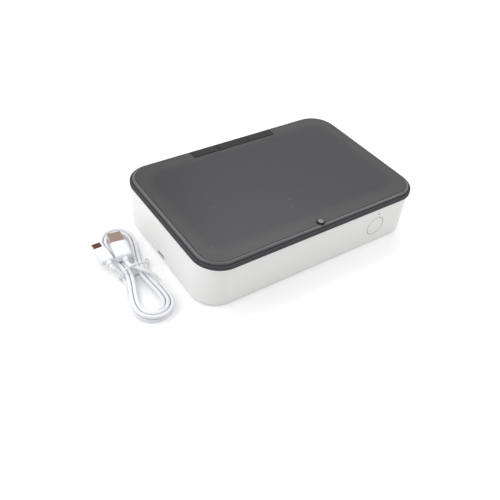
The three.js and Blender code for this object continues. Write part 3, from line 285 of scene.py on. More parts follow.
def block(name, low, high):
    bm = bmesh.new()
    verts = bmesh.ops.create_cube(bm, size=1)["verts"]
    size = Vector(high) - Vector(low)
    bmesh.ops.scale(bm, vec=size, verts=verts)
    bmesh.ops.translate(bm, vec=Vector(low) + size / 2, verts=verts)
    return piece_from(bm, name)


def rod_along(name, axis, radius, start, end, segments):
    bm = bmesh.new()
    start, end = Vector(start), Vector(end)
    turn = Vector((0, 0, 1)).rotation_difference(Vector(axis)).to_matrix().to_4x4()
    place = Matrix.Translation((start + end) / 2) @ turn
    bmesh.ops.create_cone(bm, cap_ends=True, segments=segments, radius1=radius, radius2=radius,
                          depth=(end - start).length, matrix=place)
    return piece_from(bm, name)


print("helpers ready: turn, cut, block, rod")

# %% [markdown]
# Every piece is finished the same way. It gets one material and smooth shading that stops at
# its sharp edges. Then it is told which body carries it, and which engineering solids it
# stands in for, so that those are hidden.

# %% Helper that finishes a piece
sharp_angle = math.radians(35)


def finish(piece, material, body, slot, *stands_for):
    piece.data.materials.clear()
    piece.data.materials.append(material)
    if piece.type == "MESH":
        piece.data.shade_smooth()
        piece.data.set_sharp_from_angle(angle=sharp_angle)
        weight = piece.modifiers.new("even_shading", "WEIGHTED_NORMAL")
        weight.keep_sharp = True
    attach(piece, body)
    if stands_for:
        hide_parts(*stands_for)


print("edges over", round(math.degrees(sharp_angle)), "degrees stay sharp")

# %% [markdown]
# The housing is one white moulding: four walls that lean out a little so it leaves its mould,
# big round corners, a soft lower edge, and a thin lip round the top that the deck sits inside.
# It is raised from one flat face and stepped in twice for the lip, so its walls keep an even
# thickness.

# %% Sizes of the housing
housing_low, housing_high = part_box("outer_shell")
body_half_x, body_half_y = housing_high.x, housing_high.y
body_bottom, body_top = housing_low.z, housing_high.z
body_radius, corner_segments = 23.2 * MM, 20
body_draft = 0.3 * MM
wall, lip = 2.2 * MM, 1.2 * MM
floor_top = 2.6 * MM
lower_round, rim_round = 1.4 * MM, 0.9 * MM
deck_seat = 38.8 * MM
cover_margin = 10.78 * MM
cover_radius = 13 * MM
overrun = 2 * MM
print("housing", round(2 * body_half_x, 4), "by", round(2 * body_half_y, 4), "m")

# %% Housing
def make_housing():
    bm = bmesh.new()
    base = rounded_face(bm, body_half_x, body_half_y, body_radius, body_bottom, corner_segments)
    top = raise_face(bm, base, body_top - body_bottom)
    low_verts = [v for v in bm.verts if v.co.z < body_bottom + hair]
    lean = ((body_half_x - body_draft) / body_half_x, (body_half_y - body_draft) / body_half_y, 1)
    bmesh.ops.scale(bm, vec=lean, verts=low_verts)
    rim_edges = list(top.edges)
    top = step_in(bm, top, lip)
    top = raise_face(bm, top, deck_seat - body_top)
    top = step_in(bm, top, wall - lip)
    raise_face(bm, top, floor_top - deck_seat)
    round_edges(bm, flat_face(bm, body_bottom).edges, lower_round, segments=8)
    round_edges(bm, [e for e in rim_edges if e.is_valid], rim_round, segments=3)
    return piece_from(bm, "housing_shell")


def rounded_block(name, half_x, half_y, radius, low, high):
    bm = bmesh.new()
    raise_face(bm, rounded_face(bm, half_x, half_y, radius, low), high - low)
    return piece_from(bm, name)


housing_shell = make_housing()
print("housing walls raised:", len(housing_shell.data.polygons), "faces")

# %% [markdown]
# The housing is open below for the cover, and its walls have holes for the button, the
# indicator and the socket. They are cut once the walls stand, a little larger than the pieces
# in them, so that each shows a fine gap. The mouth of the socket is a slot with round ends.

# %% Holes of the housing
cover_half_x = body_half_x - cover_margin
cover_half_y = body_half_y - cover_margin
button_low, button_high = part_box("power_button")
button_radius = 9.2 * MM
hole_gap = 0.3 * MM
mouth_gap_y, mouth_gap_z, mouth_fullness = 1.4 * MM, 0.3 * MM, 0.999
button_x, button_z = (button_low.x + button_high.x) / 2, (button_low.z + button_high.z) / 2
lens_low, lens_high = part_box("indicator_lens")
lens_x, lens_z = (lens_low.x + lens_high.x) / 2, (lens_low.z + lens_high.z) / 2
lens_radius = 0.7 * MM
socket_low, socket_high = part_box("usb_socket")
front_out, front_in = -body_half_y - overrun, -body_half_y + wall + overrun


def make_socket_cutter():
    bm = bmesh.new()
    half_y = (socket_high.y - socket_low.y) / 2 + mouth_gap_y
    half_z = (socket_high.z - socket_low.z) / 2 + mouth_gap_z
    face = rounded_face(bm, half_z, half_y, half_z * mouth_fullness, 0)
    raise_face(bm, face, wall + 2 * overrun)
    middle_z = (socket_high.z + socket_low.z) / 2
    turn = Matrix.Rotation(math.pi / 2, 4, "Y")
    place = Matrix.Translation((-body_half_x - overrun, 0, middle_z))
    bmesh.ops.transform(bm, matrix=place @ turn, verts=bm.verts)
    return piece_from(bm, "cutter")


underside = rounded_block("cutter", cover_half_x, cover_half_y, cover_radius,
                          body_bottom - overrun, floor_top + overrun)
button_bore = rod_along("cutter", (0, 1, 0), button_radius + hole_gap,
                        (button_x, front_out, button_z), (button_x, front_in, button_z),
                        segments=96)
lens_bore = rod_along("cutter", (0, 1, 0), lens_radius + hole_gap,
                      (lens_x, front_out, lens_z), (lens_x, front_in, lens_z), segments=32)
cut_away(housing_shell, underside, button_bore, lens_bore, make_socket_cutter())
print("housing faces:", len(housing_shell.data.polygons))

# %% [markdown]
# The lid is a smoky moulding. A flat flange runs round it, then a fine crease, then a rounded
# shoulder up to the panel, which has its own hairline groove. Underneath it is hollow, so the
# walls keep one thickness and the plastic shrinks evenly. The steps are inset one after the
# other from the flange inwards. The back edge is then rounded about the hinge pin, so that it
# clears the housing as the lid swings.

# %% Sizes of the lid and its hinge
lid_low, lid_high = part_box("lid")
lid_half_x, lid_half_y = lid_high.x, -lid_low.y
lid_bottom, lid_top = lid_low.z, lid_high.z
lid_radius = 24.2 * MM
flange_height, flange_round = 3 * MM, 0.8 * MM
ledge_width = 1 * MM
crease_depth, crease_width = 0.4 * MM, 0.5 * MM
shoulder_steps = 10
panel_inset = flange_round + ledge_width + crease_width + lid_top - lid_bottom - flange_height
groove_width, groove_depth, groove_slope = 0.5 * MM, 0.45 * MM, 0.1 * MM
skirt_width, skirt_round, panel_thickness = 4.2 * MM, 1.6 * MM, 2.4 * MM
line_gap = 0.6 * MM
swing_radius = 3.8 * MM
pin_low, pin_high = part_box("hinge_pin")
pin_y, pin_z = (pin_low.y + pin_high.y) / 2, (pin_low.z + pin_high.z) / 2
hinge_low, hinge_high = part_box("hinge_block_right")
stud_low, stud_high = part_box("lid_stud")
stud_radius, stud_y = (stud_high.x - stud_low.x) / 2, (stud_low.y + stud_high.y) / 2
stud_stem, stud_seat = 2.4 * MM, 0.9 * MM
print("lid", round(2 * lid_half_x, 4), "by", round(2 * lid_half_y, 4), "m, top at",
      round(lid_top, 4))

# %% Lid
def make_lid():
    bm = bmesh.new()
    base = rounded_face(bm, lid_half_x, lid_half_y, lid_radius, lid_bottom, corner_segments)
    top = raise_face(bm, base, flange_height)
    flange_top = lid_bottom + flange_height
    round_edges(bm, top.edges, flange_round, segments=4)
    top = step_in(bm, flat_face(bm, flange_top), ledge_width)
    top = step_in(bm, top, crease_width / 2, -crease_depth)
    top = step_in(bm, top, crease_width / 2, crease_depth)
    top = rounded_rise(bm, top, lid_top - flange_top, shoulder_steps)
    top = step_in(bm, top, groove_slope, -groove_depth)
    top = step_in(bm, top, groove_width - 2 * groove_slope)
    step_in(bm, top, groove_slope, groove_depth)
    under = step_in(bm, flat_face(bm, lid_bottom), skirt_width)
    raise_face(bm, under, lid_top - panel_thickness - lid_bottom)
    round_edges(bm, flat_face(bm, lid_top - panel_thickness).edges, skirt_round, segments=5)
    return piece_from(bm, "lid_moulding")


def rear_relief():
    corner = block("cutter", (-lid_half_x - overrun, pin_y, lid_bottom - overrun),
                   (lid_half_x + overrun, lid_half_y + overrun, pin_z))
    cut_away(corner, rod_along("cutter", (1, 0, 0), swing_radius,
                               (-lid_half_x - 2 * overrun, pin_y, pin_z),
                               (lid_half_x + 2 * overrun, pin_y, pin_z), segments=128))
    return corner


lid_moulding = make_lid()
hinge_notch = block("cutter",
                    (-hinge_high.x - line_gap, hinge_low.y - line_gap, lid_bottom - overrun),
                    (hinge_high.x + line_gap, lid_half_y + overrun, lid_top + overrun))
stem_hole = rod_along("cutter", (0, 0, 1), stud_stem + hole_gap,
                      (0, stud_y, lid_bottom - overrun), (0, stud_y, lid_top + overrun),
                      segments=48)
stud_hole = rod_along("cutter", (0, 0, 1), stud_radius + hole_gap,
                      (0, stud_y, lid_top - stud_seat - hole_gap),
                      (0, stud_y, lid_top + overrun), segments=64)
cut_away(lid_moulding, hinge_notch, rear_relief(), stem_hole, stud_hole)
print("lid faces:", len(lid_moulding.data.polygons))

# %% [markdown]
# Under the lid a grey deck fills the housing, and a smooth tub hangs from it for the phone.
# Both are one thin moulding, so it is drawn as a stack of outlines bridged one to the next:
# across the deck, over the rolled mouth, down the leaning wall and round into the floor. Two
# outlines at one height can be bridged the wrong way round, so deck_fall sets them apart.

# %% Sizes of the inner tray
tray_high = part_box("inner_tray")[1]
deck_half_x, deck_half_y = tray_high.x, tray_high.y
deck_top, deck_bottom = 41 * MM, 39.1 * MM
deck_radius, deck_edge = 21.7 * MM, 0.4 * MM
cavity_half_x, cavity_half_y = 100 * MM, 57.5 * MM
cavity_radius, cavity_draft = 16 * MM, 3.5 * MM
cavity_floor, tray_wall = 12.5 * MM, 1.8 * MM
floor_round, mouth_round = 3 * MM, 1.5 * MM
deck_fall = 0.05 * MM
print("deck", round(2 * deck_half_x, 4), "by", round(2 * deck_half_y, 4), "m, tub",
      round(deck_top - cavity_floor, 4), "m deep")

# %% Outlines of the tray and the tray itself
def deck_level(z, inset):
    return deck_half_x - inset, deck_half_y - inset, deck_radius - inset, z


def cavity_level(z, inset):
    lean = cavity_draft * (deck_top - z) / (deck_top - cavity_floor) + inset
    return cavity_half_x - lean, cavity_half_y - lean, cavity_radius - lean, z


def quarter_round(radius, steps=5):
    angles = [math.pi / 2 * i / steps for i in range(steps + 1)]
    return [(radius * (1 - math.sin(a)), radius * (1 - math.cos(a))) for a in angles]


def ring(bm, level):
    edges_before, faces_before = set(bm.edges), set(bm.faces)
    rounded_face(bm, *level)
    added = [f for f in bm.faces if f not in faces_before]
    bmesh.ops.delete(bm, geom=added, context="FACES_ONLY")
    return [e for e in bm.edges if e not in edges_before]


def lofted(levels, name):
    bm = bmesh.new()
    rings = [ring(bm, level) for level in levels]
    for lower, upper in zip(rings, rings[1:]):
        bmesh.ops.bridge_loops(bm, edges=lower + upper)
    for end in (rings[0], rings[-1]):
        bmesh.ops.edgeloop_fill(bm, edges=end)
    return piece_from(bm, name)


under_levels = [cavity_level(cavity_floor - tray_wall + rise, cut - tray_wall)
                for cut, rise in quarter_round(floor_round + tray_wall)]
mouth_levels = [cavity_level(deck_top - deck_fall - rise, -cut)
                for cut, rise in quarter_round(mouth_round)]
floor_levels = [cavity_level(cavity_floor + rise, cut)
                for cut, rise in quarter_round(floor_round)]
deck_levels = [cavity_level(deck_bottom - deck_fall, -tray_wall),
               deck_level(deck_bottom, 0),
               deck_level(deck_top - deck_edge, 0),
               deck_level(deck_top, deck_edge)]
tray_levels = under_levels + deck_levels + mouth_levels + floor_levels[::-1]
inner_tray = lofted(tray_levels, "tray_moulding")
print("tray outlines:", len(tray_levels))

# %% [markdown]
# Nine pairs of thin ribs stand in the tub. A phone rests on their tops, so the lamp below
# reaches its underside. Each rib is a block with a rounded inner end and softened edges. The
# row along one side is built rib by rib and then mirrored to the other side.

# %% Ribs of the tray
rib_count, rib_thickness, rib_pitch = 9, 2 * MM, 20 * MM
rib_inner, rib_outer, rib_top = 17 * MM, 50.5 * MM, 24 * MM
rib_end_round, rib_edge_round = 3 * MM, 0.35 * MM
rib_soft_depth, rib_soft_angle = 4 * MM, math.radians(60)


def add_rib(bm, middle_x):
    verts = bmesh.ops.create_cube(bm, size=1)["verts"]
    size = Vector((rib_thickness, rib_outer - rib_inner, rib_top - cavity_floor + tray_wall / 2))
    place = Vector((middle_x, (rib_outer + rib_inner) / 2, rib_top - size.z / 2))
    bmesh.ops.scale(bm, vec=size, verts=verts)
    bmesh.ops.translate(bm, vec=place, verts=verts)
    upper = [e for e in bm.edges if all(v in verts and v.co.z > rib_top - hair for v in e.verts)]
    inner_end = [e for e in upper if all(v.co.y < rib_inner + hair for v in e.verts)]
    round_edges(bm, inner_end, rib_end_round, segments=8)
    soft = [e for e in bm.edges if e.calc_face_angle(0) > rib_soft_angle
            and all(abs(v.co.x - middle_x) < rib_thickness and v.co.z > rib_top - rib_soft_depth
                    for v in e.verts)]
    round_edges(bm, soft, rib_edge_round, segments=2)


def make_ribs():
    bm = bmesh.new()
    for number in range(rib_count):
        add_rib(bm, rib_pitch * (number - (rib_count - 1) / 2))
    bmesh.ops.mirror(bm, geom=bm.verts[:] + bm.edges[:] + bm.faces[:], axis="Y", merge_dist=0)
    return piece_from(bm, "tray_ribs")


tray_ribs = make_ribs()
print("rib faces:", len(tray_ribs.data.polygons))

# %% [markdown]
# The button is a flat disc, let in flush with the leaning front wall so only a hairline
# shows. It is turned about the line square to that wall, and the stud on the lid is turned
# the same way about an upright line.

# %% Button and stud
wall_lean = math.atan(body_draft / (body_top - body_bottom))
button_edge = 0.35 * MM
button_stem, stem_play = 2.5 * MM, 0.01 * MM
flange_radius, flange_reach = 10.6 * MM, 1.2 * MM
stud_dome = 0.8 * MM


def rounded_corner(across, up, radius, steps=4):
    return [(across - cut, 0, up - rise) for cut, rise in quarter_round(radius, steps)[::-1]]


def make_button():
    bm = bmesh.new()
    inside = -wall - hole_gap
    low = -(button_high.y - button_low.y) + stem_play
    profile = [(0, 0, low), (button_stem, 0, low), (button_stem, 0, inside - flange_reach),
               (flange_radius, 0, inside - flange_reach), (flange_radius, 0, inside),
               (button_radius, 0, inside), *rounded_corner(button_radius, 0, button_edge),
               (0, 0, 0)]
    spun(bm, profile, (0, 0, 1), (0, 0, 0), steps=96)
    height_share = (button_z - body_bottom) / (body_top - body_bottom)
    wall_y = -body_half_y + body_draft * (1 - height_share)
    turn = Matrix.Rotation(math.pi / 2 + wall_lean, 4, "X")
    place = Matrix.Translation((button_x, wall_y, button_z))
    bmesh.ops.transform(bm, matrix=place @ turn, verts=bm.verts)
    return piece_from(bm, "power_disc")


def make_stud():
    bm = bmesh.new()
    seat = lid_top - stud_seat
    shoulder = [(across, stud_y, up)
                for across, _, up in rounded_corner(stud_radius, stud_high.z, stud_dome, steps=6)]
    profile = [(0, stud_y, stud_low.z), (stud_stem, stud_y, stud_low.z),
               (stud_stem, stud_y, seat), (stud_radius, stud_y, seat), *shoulder,
               (0, stud_y, stud_high.z)]
    spun(bm, profile, (0, 0, 1), (0, stud_y, 0), steps=64)
    return piece_from(bm, "lid_finger_stud")


power_disc = make_button()
lid_finger_stud = make_stud()
print("button and stud turned")

# %% [markdown]
# The plugs of the lead are soft mouldings over a folded metal shell. The moulding has a
# rounded body and a short ribbed collar where the cord goes in. The collar is turned and then
# joined to the body, as the two are one shot of plastic on the real plug.

# %% Grips of the plugs
grip_corner_share, grip_edge_share = 0.34, 0.3
collar_radius, collar_overlap, collar_rings = 2.7 * MM, 1 * MM, 4
ring_taper, ring_neck, tail_share = 0.05, 0.88, 0.8
ring_top, ring_foot = 0.25, 0.75
c_width, c_length, c_thickness = 11.2 * MM, 18 * MM, 6 * MM
a_width, a_length, a_thickness = 14.4 * MM, 20 * MM, 7.6 * MM


def slab(bm, width, length, thickness, corner, edge):
    half = thickness / 2
    base = rounded_face(bm, width / 2, length / 2, corner, -half, segments=6)
    top = raise_face(bm, base, thickness)
    rim = list(top.edges) + list(flat_face(bm, -half).edges)
    round_edges(bm, rim, edge, segments=4)


def turned_collar(length):
    bm = bmesh.new()
    start, end = -length / 2 + collar_overlap, -length / 2 - collar_length
    points = [(0, start, 0), (collar_radius, start, 0)]
    for number in range(collar_rings):
        upper = start + (end - start) * (number + ring_top) / collar_rings
        lower = start + (end - start) * (number + ring_foot) / collar_rings
        bulge = collar_radius * (1 - ring_taper * number)
        points += [(bulge, upper, 0), (bulge * ring_neck, lower, 0)]
    points += [(collar_radius * tail_share, end, 0), (0, end, 0)]
    spun(bm, points, (0, 1, 0), (0, 0, 0), steps=40)
    return piece_from(bm, "collar")


def make_plug_mould(name, width, length, thickness):
    bm = bmesh.new()
    slab(bm, width, length, thickness, thickness * grip_corner_share, thickness * grip_edge_share)
    piece = piece_from(bm, name)
    collar = turned_collar(length)
    join = piece.modifiers.new("join", "BOOLEAN")
    join.operation = "UNION"
    join.solver = "EXACT"
    join.object = collar
    apply_modifiers(piece)
    bpy.data.objects.remove(collar)
    return piece


c_mould = make_plug_mould("plug_c_grip", c_width, c_length, c_thickness)
a_mould = make_plug_mould("plug_a_grip", a_width, a_length, a_thickness)
print("grips:", len(c_mould.data.polygons), "and", len(a_mould.data.polygons), "faces")

# %% [markdown]
# The metal shell of a plug is sheet bent to a flat tube. Here it is a slab whose end face is
# stepped in by the thickness of the sheet and pushed back, which leaves the open mouth. Each
# plug is made about its own middle and then laid where the picture shows it.

# %% Metal shells of the plugs
sheet_thickness, mouth_depth_share = 0.35 * MM, 0.8
c_sheet = {"width": 8.3 * MM, "length": 6.7 * MM, "thickness": 2.5 * MM, "corner": 1.24 * MM}
a_sheet = {"width": 12 * MM, "length": 12 * MM, "thickness": 4.5 * MM, "corner": 0.5 * MM}


def make_plug_shell(name, width, length, thickness, corner, start):
    bm = bmesh.new()
    base = rounded_face(bm, width / 2, thickness / 2, corner, 0, segments=8)
    raise_face(bm, base, length)
    turn = Matrix.Rotation(-math.pi / 2, 4, "X")
    bmesh.ops.transform(bm, matrix=Matrix.Translation((0, start, 0)) @ turn, verts=bm.verts)
    end = start + length
    mouth = [f for f in bm.faces if all(abs(v.co.y - end) < hair for v in f.verts)][0]
    step_in(bm, mouth, sheet_thickness)
    raised = bmesh.ops.extrude_face_region(bm, geom=[mouth])["geom"]
    bmesh.ops.translate(bm, vec=(0, -length * mouth_depth_share, 0),
                        verts=[g for g in raised if isinstance(g, bmesh.types.BMVert)])
    bmesh.ops.delete(bm, geom=[f for f in [mouth] if f.is_valid], context="FACES_ONLY")
    return piece_from(bm, name)


def lay_plug(piece, plug, length):
    turn = Matrix.Rotation(plug["turn"], 4, "Z")
    middle = plug["place"] + turn @ Vector((0, length / 2, 0))
    piece.data.transform(Matrix.Translation(middle) @ turn)


c_shell = make_plug_shell("plug_c_metal", start=c_length / 2, **c_sheet)
a_shell = make_plug_shell("plug_a_metal", start=a_length / 2, **a_sheet)
for shaped in (c_mould, c_shell):
    lay_plug(shaped, plug_c, c_length)
for shaped in (a_mould, a_shell):
    lay_plug(shaped, plug_a, a_length)
print("plugs laid at", [round(v, 4) for v in plug_c["place"]], "and",
      [round(v, 4) for v in plug_a["place"]])

# %% [markdown]
# A short plastic-covered wire holds the hank and the plug tails together at the waist.
# It goes over the plugs, down one side, under the hank and up the other, and crosses itself.
# It follows listed points, because it lies on the cord and not on a plain circle.

# %% Tie round the hank
tie_radius = 0.75 * MM
tie_route = [Vector(p) * MM for p in (
    (-129.4, -7, 6.5), (-131.8, -8, 10.2), (-138, -8.4, 13.2), (-145, -8.4, 14), (-152.4, -8.2, 11),
    (-156.7, -8, 6), (-156, -7.8, 2), (-151, -8, 1), (-142, -8, 0.85), (-133.6, -8, 1),
    (-130.7, -7.6, 2.6), (-128.8, -3, 3.6), (-127.2, 2, 4.4), (-126, -2, 3.4))]
hank_tie = cord_curve("hank_tie", tie_route, tie_radius)
print("tie points:", len(tie_route))

# %% [markdown]
# Effects that several finishes share are kept as small node groups, so that each is built
# once and every finish sets its own values. The first is the very fine grain that a
# spark-eroded mould leaves on plastic: fine noise for the relief, broad noise for the gloss.

# %% Grain of a mould
def new_group(name, inputs, outputs):
    group = bpy.data.node_groups.new(name, "ShaderNodeTree")
    for title, default in inputs:
        socket = group.interface.new_socket(title, in_out="INPUT", socket_type="NodeSocketFloat")
        socket.default_value = default
    group.interface.new_socket("Vector", in_out="INPUT", socket_type="NodeSocketVector")
    for title in outputs:
        group.interface.new_socket(title, in_out="OUTPUT", socket_type="NodeSocketFloat")
    return group, group.nodes.new("NodeGroupInput"), group.nodes.new("NodeGroupOutput")


def grain_group():
    settings = [("Scale", 2400.0), ("Rough Low", 0.4), ("Rough High", 0.5)]
    group, entry, result = new_group("moulding_grain", settings, ["Height", "Roughness"])
    fine = group.nodes.new("ShaderNodeTexNoise")
    fine.inputs["Detail"].default_value = 2
    broad = group.nodes.new("ShaderNodeTexNoise")
    broad.inputs["Scale"].default_value = 35
    broad.inputs["Detail"].default_value = 3
    spread = group.nodes.new("ShaderNodeMapRange")
    spread.inputs["From Min"].default_value = 0.1
    spread.inputs["From Max"].default_value = 0.9
    link = group.links.new
    link(entry.outputs["Vector"], fine.inputs["Vector"])
    link(entry.outputs["Scale"], fine.inputs["Scale"])
    link(entry.outputs["Vector"], broad.inputs["Vector"])
    link(broad.outputs[0], spread.inputs["Value"])
    link(entry.outputs["Rough Low"], spread.inputs["To Min"])
    link(entry.outputs["Rough High"], spread.inputs["To Max"])
    link(fine.outputs[0], result.inputs["Height"])
    link(spread.outputs[0], result.inputs["Roughness"])
    return group


moulding_grain = grain_group()
print("shared effect:", moulding_grain.name)

# %% [markdown]
# The second effect is a sparse scatter of dust, brighter than the surface it lies on. A cell
# pattern gives one dot a cell, and a random colour of the cell picks the few that are kept.

# %% Specks of dust
def dust_group():
    settings = [("Scale", 260.0), ("Size", 0.09), ("Amount", 0.06)]
    group, entry, result = new_group("dust_specks", settings, ["Mask"])
    cells = group.nodes.new("ShaderNodeTexVoronoi")
    cells.inputs["Randomness"].default_value = 1
    near = group.nodes.new("ShaderNodeMath")
    near.operation = "LESS_THAN"
    split = group.nodes.new("ShaderNodeSeparateColor")
    chosen = group.nodes.new("ShaderNodeMath")
    chosen.operation = "LESS_THAN"
    both = group.nodes.new("ShaderNodeMath")
    both.operation = "MULTIPLY"
    link = group.links.new
    link(entry.outputs["Vector"], cells.inputs["Vector"])
    link(entry.outputs["Scale"], cells.inputs["Scale"])
    link(cells.outputs["Distance"], near.inputs[0])
    link(entry.outputs["Size"], near.inputs[1])
    link(cells.outputs["Color"], split.inputs["Color"])
    link(split.outputs[0], chosen.inputs[0])
    link(entry.outputs["Amount"], chosen.inputs[1])
    link(near.outputs[0], both.inputs[0])
    link(chosen.outputs[0], both.inputs[1])
    link(both.outputs[0], result.inputs["Mask"])
    return group


dust_specks = dust_group()
print("shared effect:", dust_specks.name)

# %% [markdown]
# The third effect is the drawn streaks of rolled metal. It is noise stretched along the
# sheet, which is cheaper than drawing scratches and has no seams.

# %% Streaks of drawn metal
def streak_group():
    settings = [("Along X", 20.0), ("Across", 1500.0), ("Rough Low", 0.2), ("Rough High", 0.35)]
    group, entry, result = new_group("drawn_streaks", settings, ["Height", "Roughness"])
    stretch = group.nodes.new("ShaderNodeVectorMath")
    stretch.operation = "MULTIPLY"
    scale = group.nodes.new("ShaderNodeCombineXYZ")
    lines = group.nodes.new("ShaderNodeTexNoise")
    lines.inputs["Scale"].default_value = 1
    lines.inputs["Detail"].default_value = 3
    spread = group.nodes.new("ShaderNodeMapRange")
    link = group.links.new
    link(entry.outputs["Along X"], scale.inputs["X"])
    link(entry.outputs["Across"], scale.inputs["Y"])
    link(entry.outputs["Across"], scale.inputs["Z"])
    link(entry.outputs["Vector"], stretch.inputs[0])
    link(scale.outputs[0], stretch.inputs[1])
    link(stretch.outputs[0], lines.inputs["Vector"])
    link(lines.outputs[0], spread.inputs["Value"])
    link(entry.outputs["Rough Low"], spread.inputs["To Min"])
    link(entry.outputs["Rough High"], spread.inputs["To Max"])
    link(lines.outputs[0], result.inputs["Height"])
    link(spread.outputs[0], result.inputs["Roughness"])
    return group


drawn_streaks = streak_group()
print("shared effect:", drawn_streaks.name)

# %% [markdown]
# Each finish starts from one shader with its colour and roughness, and its effect is wired
# into it. Colours are written as they look on screen and turned into linear light here.

# %% Helpers for finishes
coat_roughness = 0.08


def colour(red, green, blue):
    def linear(value):
        share = value / 255
        return share / 12.92 if share <= 0.04045 else ((share + 0.055) / 1.055) ** 2.4
    return linear(red), linear(green), linear(blue), 1


def finish_of(name, base, roughness, metallic=0.0, coat=0.0):
    material = bpy.data.materials.new(name)
    material.use_nodes = True
    nodes_of = material.node_tree.nodes
    shader = nodes_of["Principled BSDF"]
    shader.inputs["Base Color"].default_value = base
    shader.inputs["Roughness"].default_value = roughness
    shader.inputs["Metallic"].default_value = metallic
    shader.inputs["Coat Weight"].default_value = coat
    shader.inputs["Coat Roughness"].default_value = coat_roughness
    place = nodes_of.new("ShaderNodeTexCoord")
    return material, nodes_of, material.node_tree.links.new, shader, place.outputs["Object"]


print("white on screen is", [round(v, 3) for v in colour(238, 239, 237)[:3]], "in linear light")

# %% [markdown]
# Two kinds of finish come up again and again: plastic with a mould's grain, and metal with
# drawn streaks. Each sets its own gloss range and relief, and takes its pattern from the
# shared group.

# %% Grained plastic and streaked metal
relief_depth = 0.02 * MM


def use_group(nodes_of, link, group, vector, **settings):
    node = nodes_of.new("ShaderNodeGroup")
    node.node_tree = group
    for title, value in settings.items():
        node.inputs[title.replace("_", " ").title()].default_value = value
    link(vector, node.inputs["Vector"])
    return node


def relief(nodes_of, link, height, shader, strength, distance):
    bump = nodes_of.new("ShaderNodeBump")
    bump.inputs["Strength"].default_value = strength
    bump.inputs["Distance"].default_value = distance
    link(height, bump.inputs["Height"])
    link(bump.outputs["Normal"], shader.inputs["Normal"])


def grained(name, base, low, high, scale=2400, strength=0.15, shine=0.5):
    material, nodes_of, link, shader, place = finish_of(name, base, low)
    shader.inputs["Specular IOR Level"].default_value = shine
    grain = use_group(nodes_of, link, moulding_grain, place, scale=scale, rough_low=low,
                      rough_high=high)
    link(grain.outputs["Roughness"], shader.inputs["Roughness"])
    relief(nodes_of, link, grain.outputs["Height"], shader, strength, relief_depth)
    return material


def streaked(name, base, low, high, along=20, across=1500, strength=0.2):
    material, nodes_of, link, shader, place = finish_of(name, base, low, metallic=1.0)
    streaks = use_group(nodes_of, link, drawn_streaks, place, along_x=along, across=across,
                        rough_low=low, rough_high=high)
    link(streaks.outputs["Roughness"], shader.inputs["Roughness"])
    relief(nodes_of, link, streaks.outputs["Height"], shader, strength, relief_depth)
    return material


print("relief of the grain:", relief_depth, "m")

# %% [markdown]
# The housing is white plastic with a faint satin grain, a trace warmer than the cord. The
# cord's jacket and grips are softer and cooler. Both use the same grain, finer and duller on
# the cord, so no second effect is needed.

# %% Whites
shell_white = grained("shell_white", colour(240, 240, 238), 0.34, 0.42, strength=0.1)
cord_white = grained("cord_white", colour(233, 235, 239), 0.42, 0.52, scale=3500, strength=0.2)
print("whites:", shell_white.name, cord_white.name)

# %% [markdown]
# Some pieces change tone from place to place. A mask says where: outside a rounded outline,
# below a level, or away from a middle line. Each mask is worked out from the place on the
# piece itself, so it moves with the piece and looks the same from every side.

# %% Masks
def outside_of(nodes_of, link, place, half_x, half_y, radius, width):
    fold = nodes_of.new("ShaderNodeVectorMath")
    fold.operation = "ABSOLUTE"
    corner = nodes_of.new("ShaderNodeVectorMath")
    corner.operation = "SUBTRACT"
    corner.inputs[1].default_value = (half_x - radius, half_y - radius, 1)
    beyond = nodes_of.new("ShaderNodeVectorMath")
    beyond.operation = "MAXIMUM"
    beyond.inputs[1].default_value = (0, 0, 0)
    distance = nodes_of.new("ShaderNodeVectorMath")
    distance.operation = "LENGTH"
    fade = nodes_of.new("ShaderNodeMapRange")
    fade.interpolation_type = "SMOOTHSTEP"
    fade.inputs["From Min"].default_value = radius - width / 2
    fade.inputs["From Max"].default_value = radius + width / 2
    link(place, fold.inputs[0])
    link(fold.outputs["Vector"], corner.inputs[0])
    link(corner.outputs["Vector"], beyond.inputs[0])
    link(beyond.outputs["Vector"], distance.inputs[0])
    link(distance.outputs["Value"], fade.inputs["Value"])
    return fade.outputs["Result"]


def below_level(nodes_of, link, place, level, width):
    split = nodes_of.new("ShaderNodeSeparateXYZ")
    fade = nodes_of.new("ShaderNodeMapRange")
    fade.inputs["From Min"].default_value = level
    fade.inputs["From Max"].default_value = level - width
    link(place, split.inputs[0])
    link(split.outputs["Z"], fade.inputs["Value"])
    return fade.outputs["Result"]


def away_from(nodes_of, link, place, centre, across, near, far):
    offset = nodes_of.new("ShaderNodeVectorMath")
    offset.operation = "SUBTRACT"
    offset.inputs[1].default_value = centre
    level = nodes_of.new("ShaderNodeVectorMath")
    level.operation = "MULTIPLY"
    level.inputs[1].default_value = across
    distance = nodes_of.new("ShaderNodeVectorMath")
    distance.operation = "LENGTH"
    fade = nodes_of.new("ShaderNodeMapRange")
    fade.interpolation_type = "SMOOTHSTEP"
    fade.inputs["From Min"].default_value = near
    fade.inputs["From Max"].default_value = far
    link(place, offset.inputs[0])
    link(offset.outputs["Vector"], level.inputs[0])
    link(level.outputs["Vector"], distance.inputs[0])
    link(distance.outputs["Value"], fade.inputs["Value"])
    return fade.outputs["Result"]


def mixed(nodes_of, link, share, first, second):
    mix = nodes_of.new("ShaderNodeMix")
    mix.data_type = "RGBA"
    link(share, mix.inputs[0])
    for socket, tone in ((mix.inputs[6], first), (mix.inputs[7], second)):
        if isinstance(tone, tuple):
            socket.default_value = tone
        else:
            link(tone, socket)
    return mix.outputs[2]


print("masks ready: outside of, below, away from")
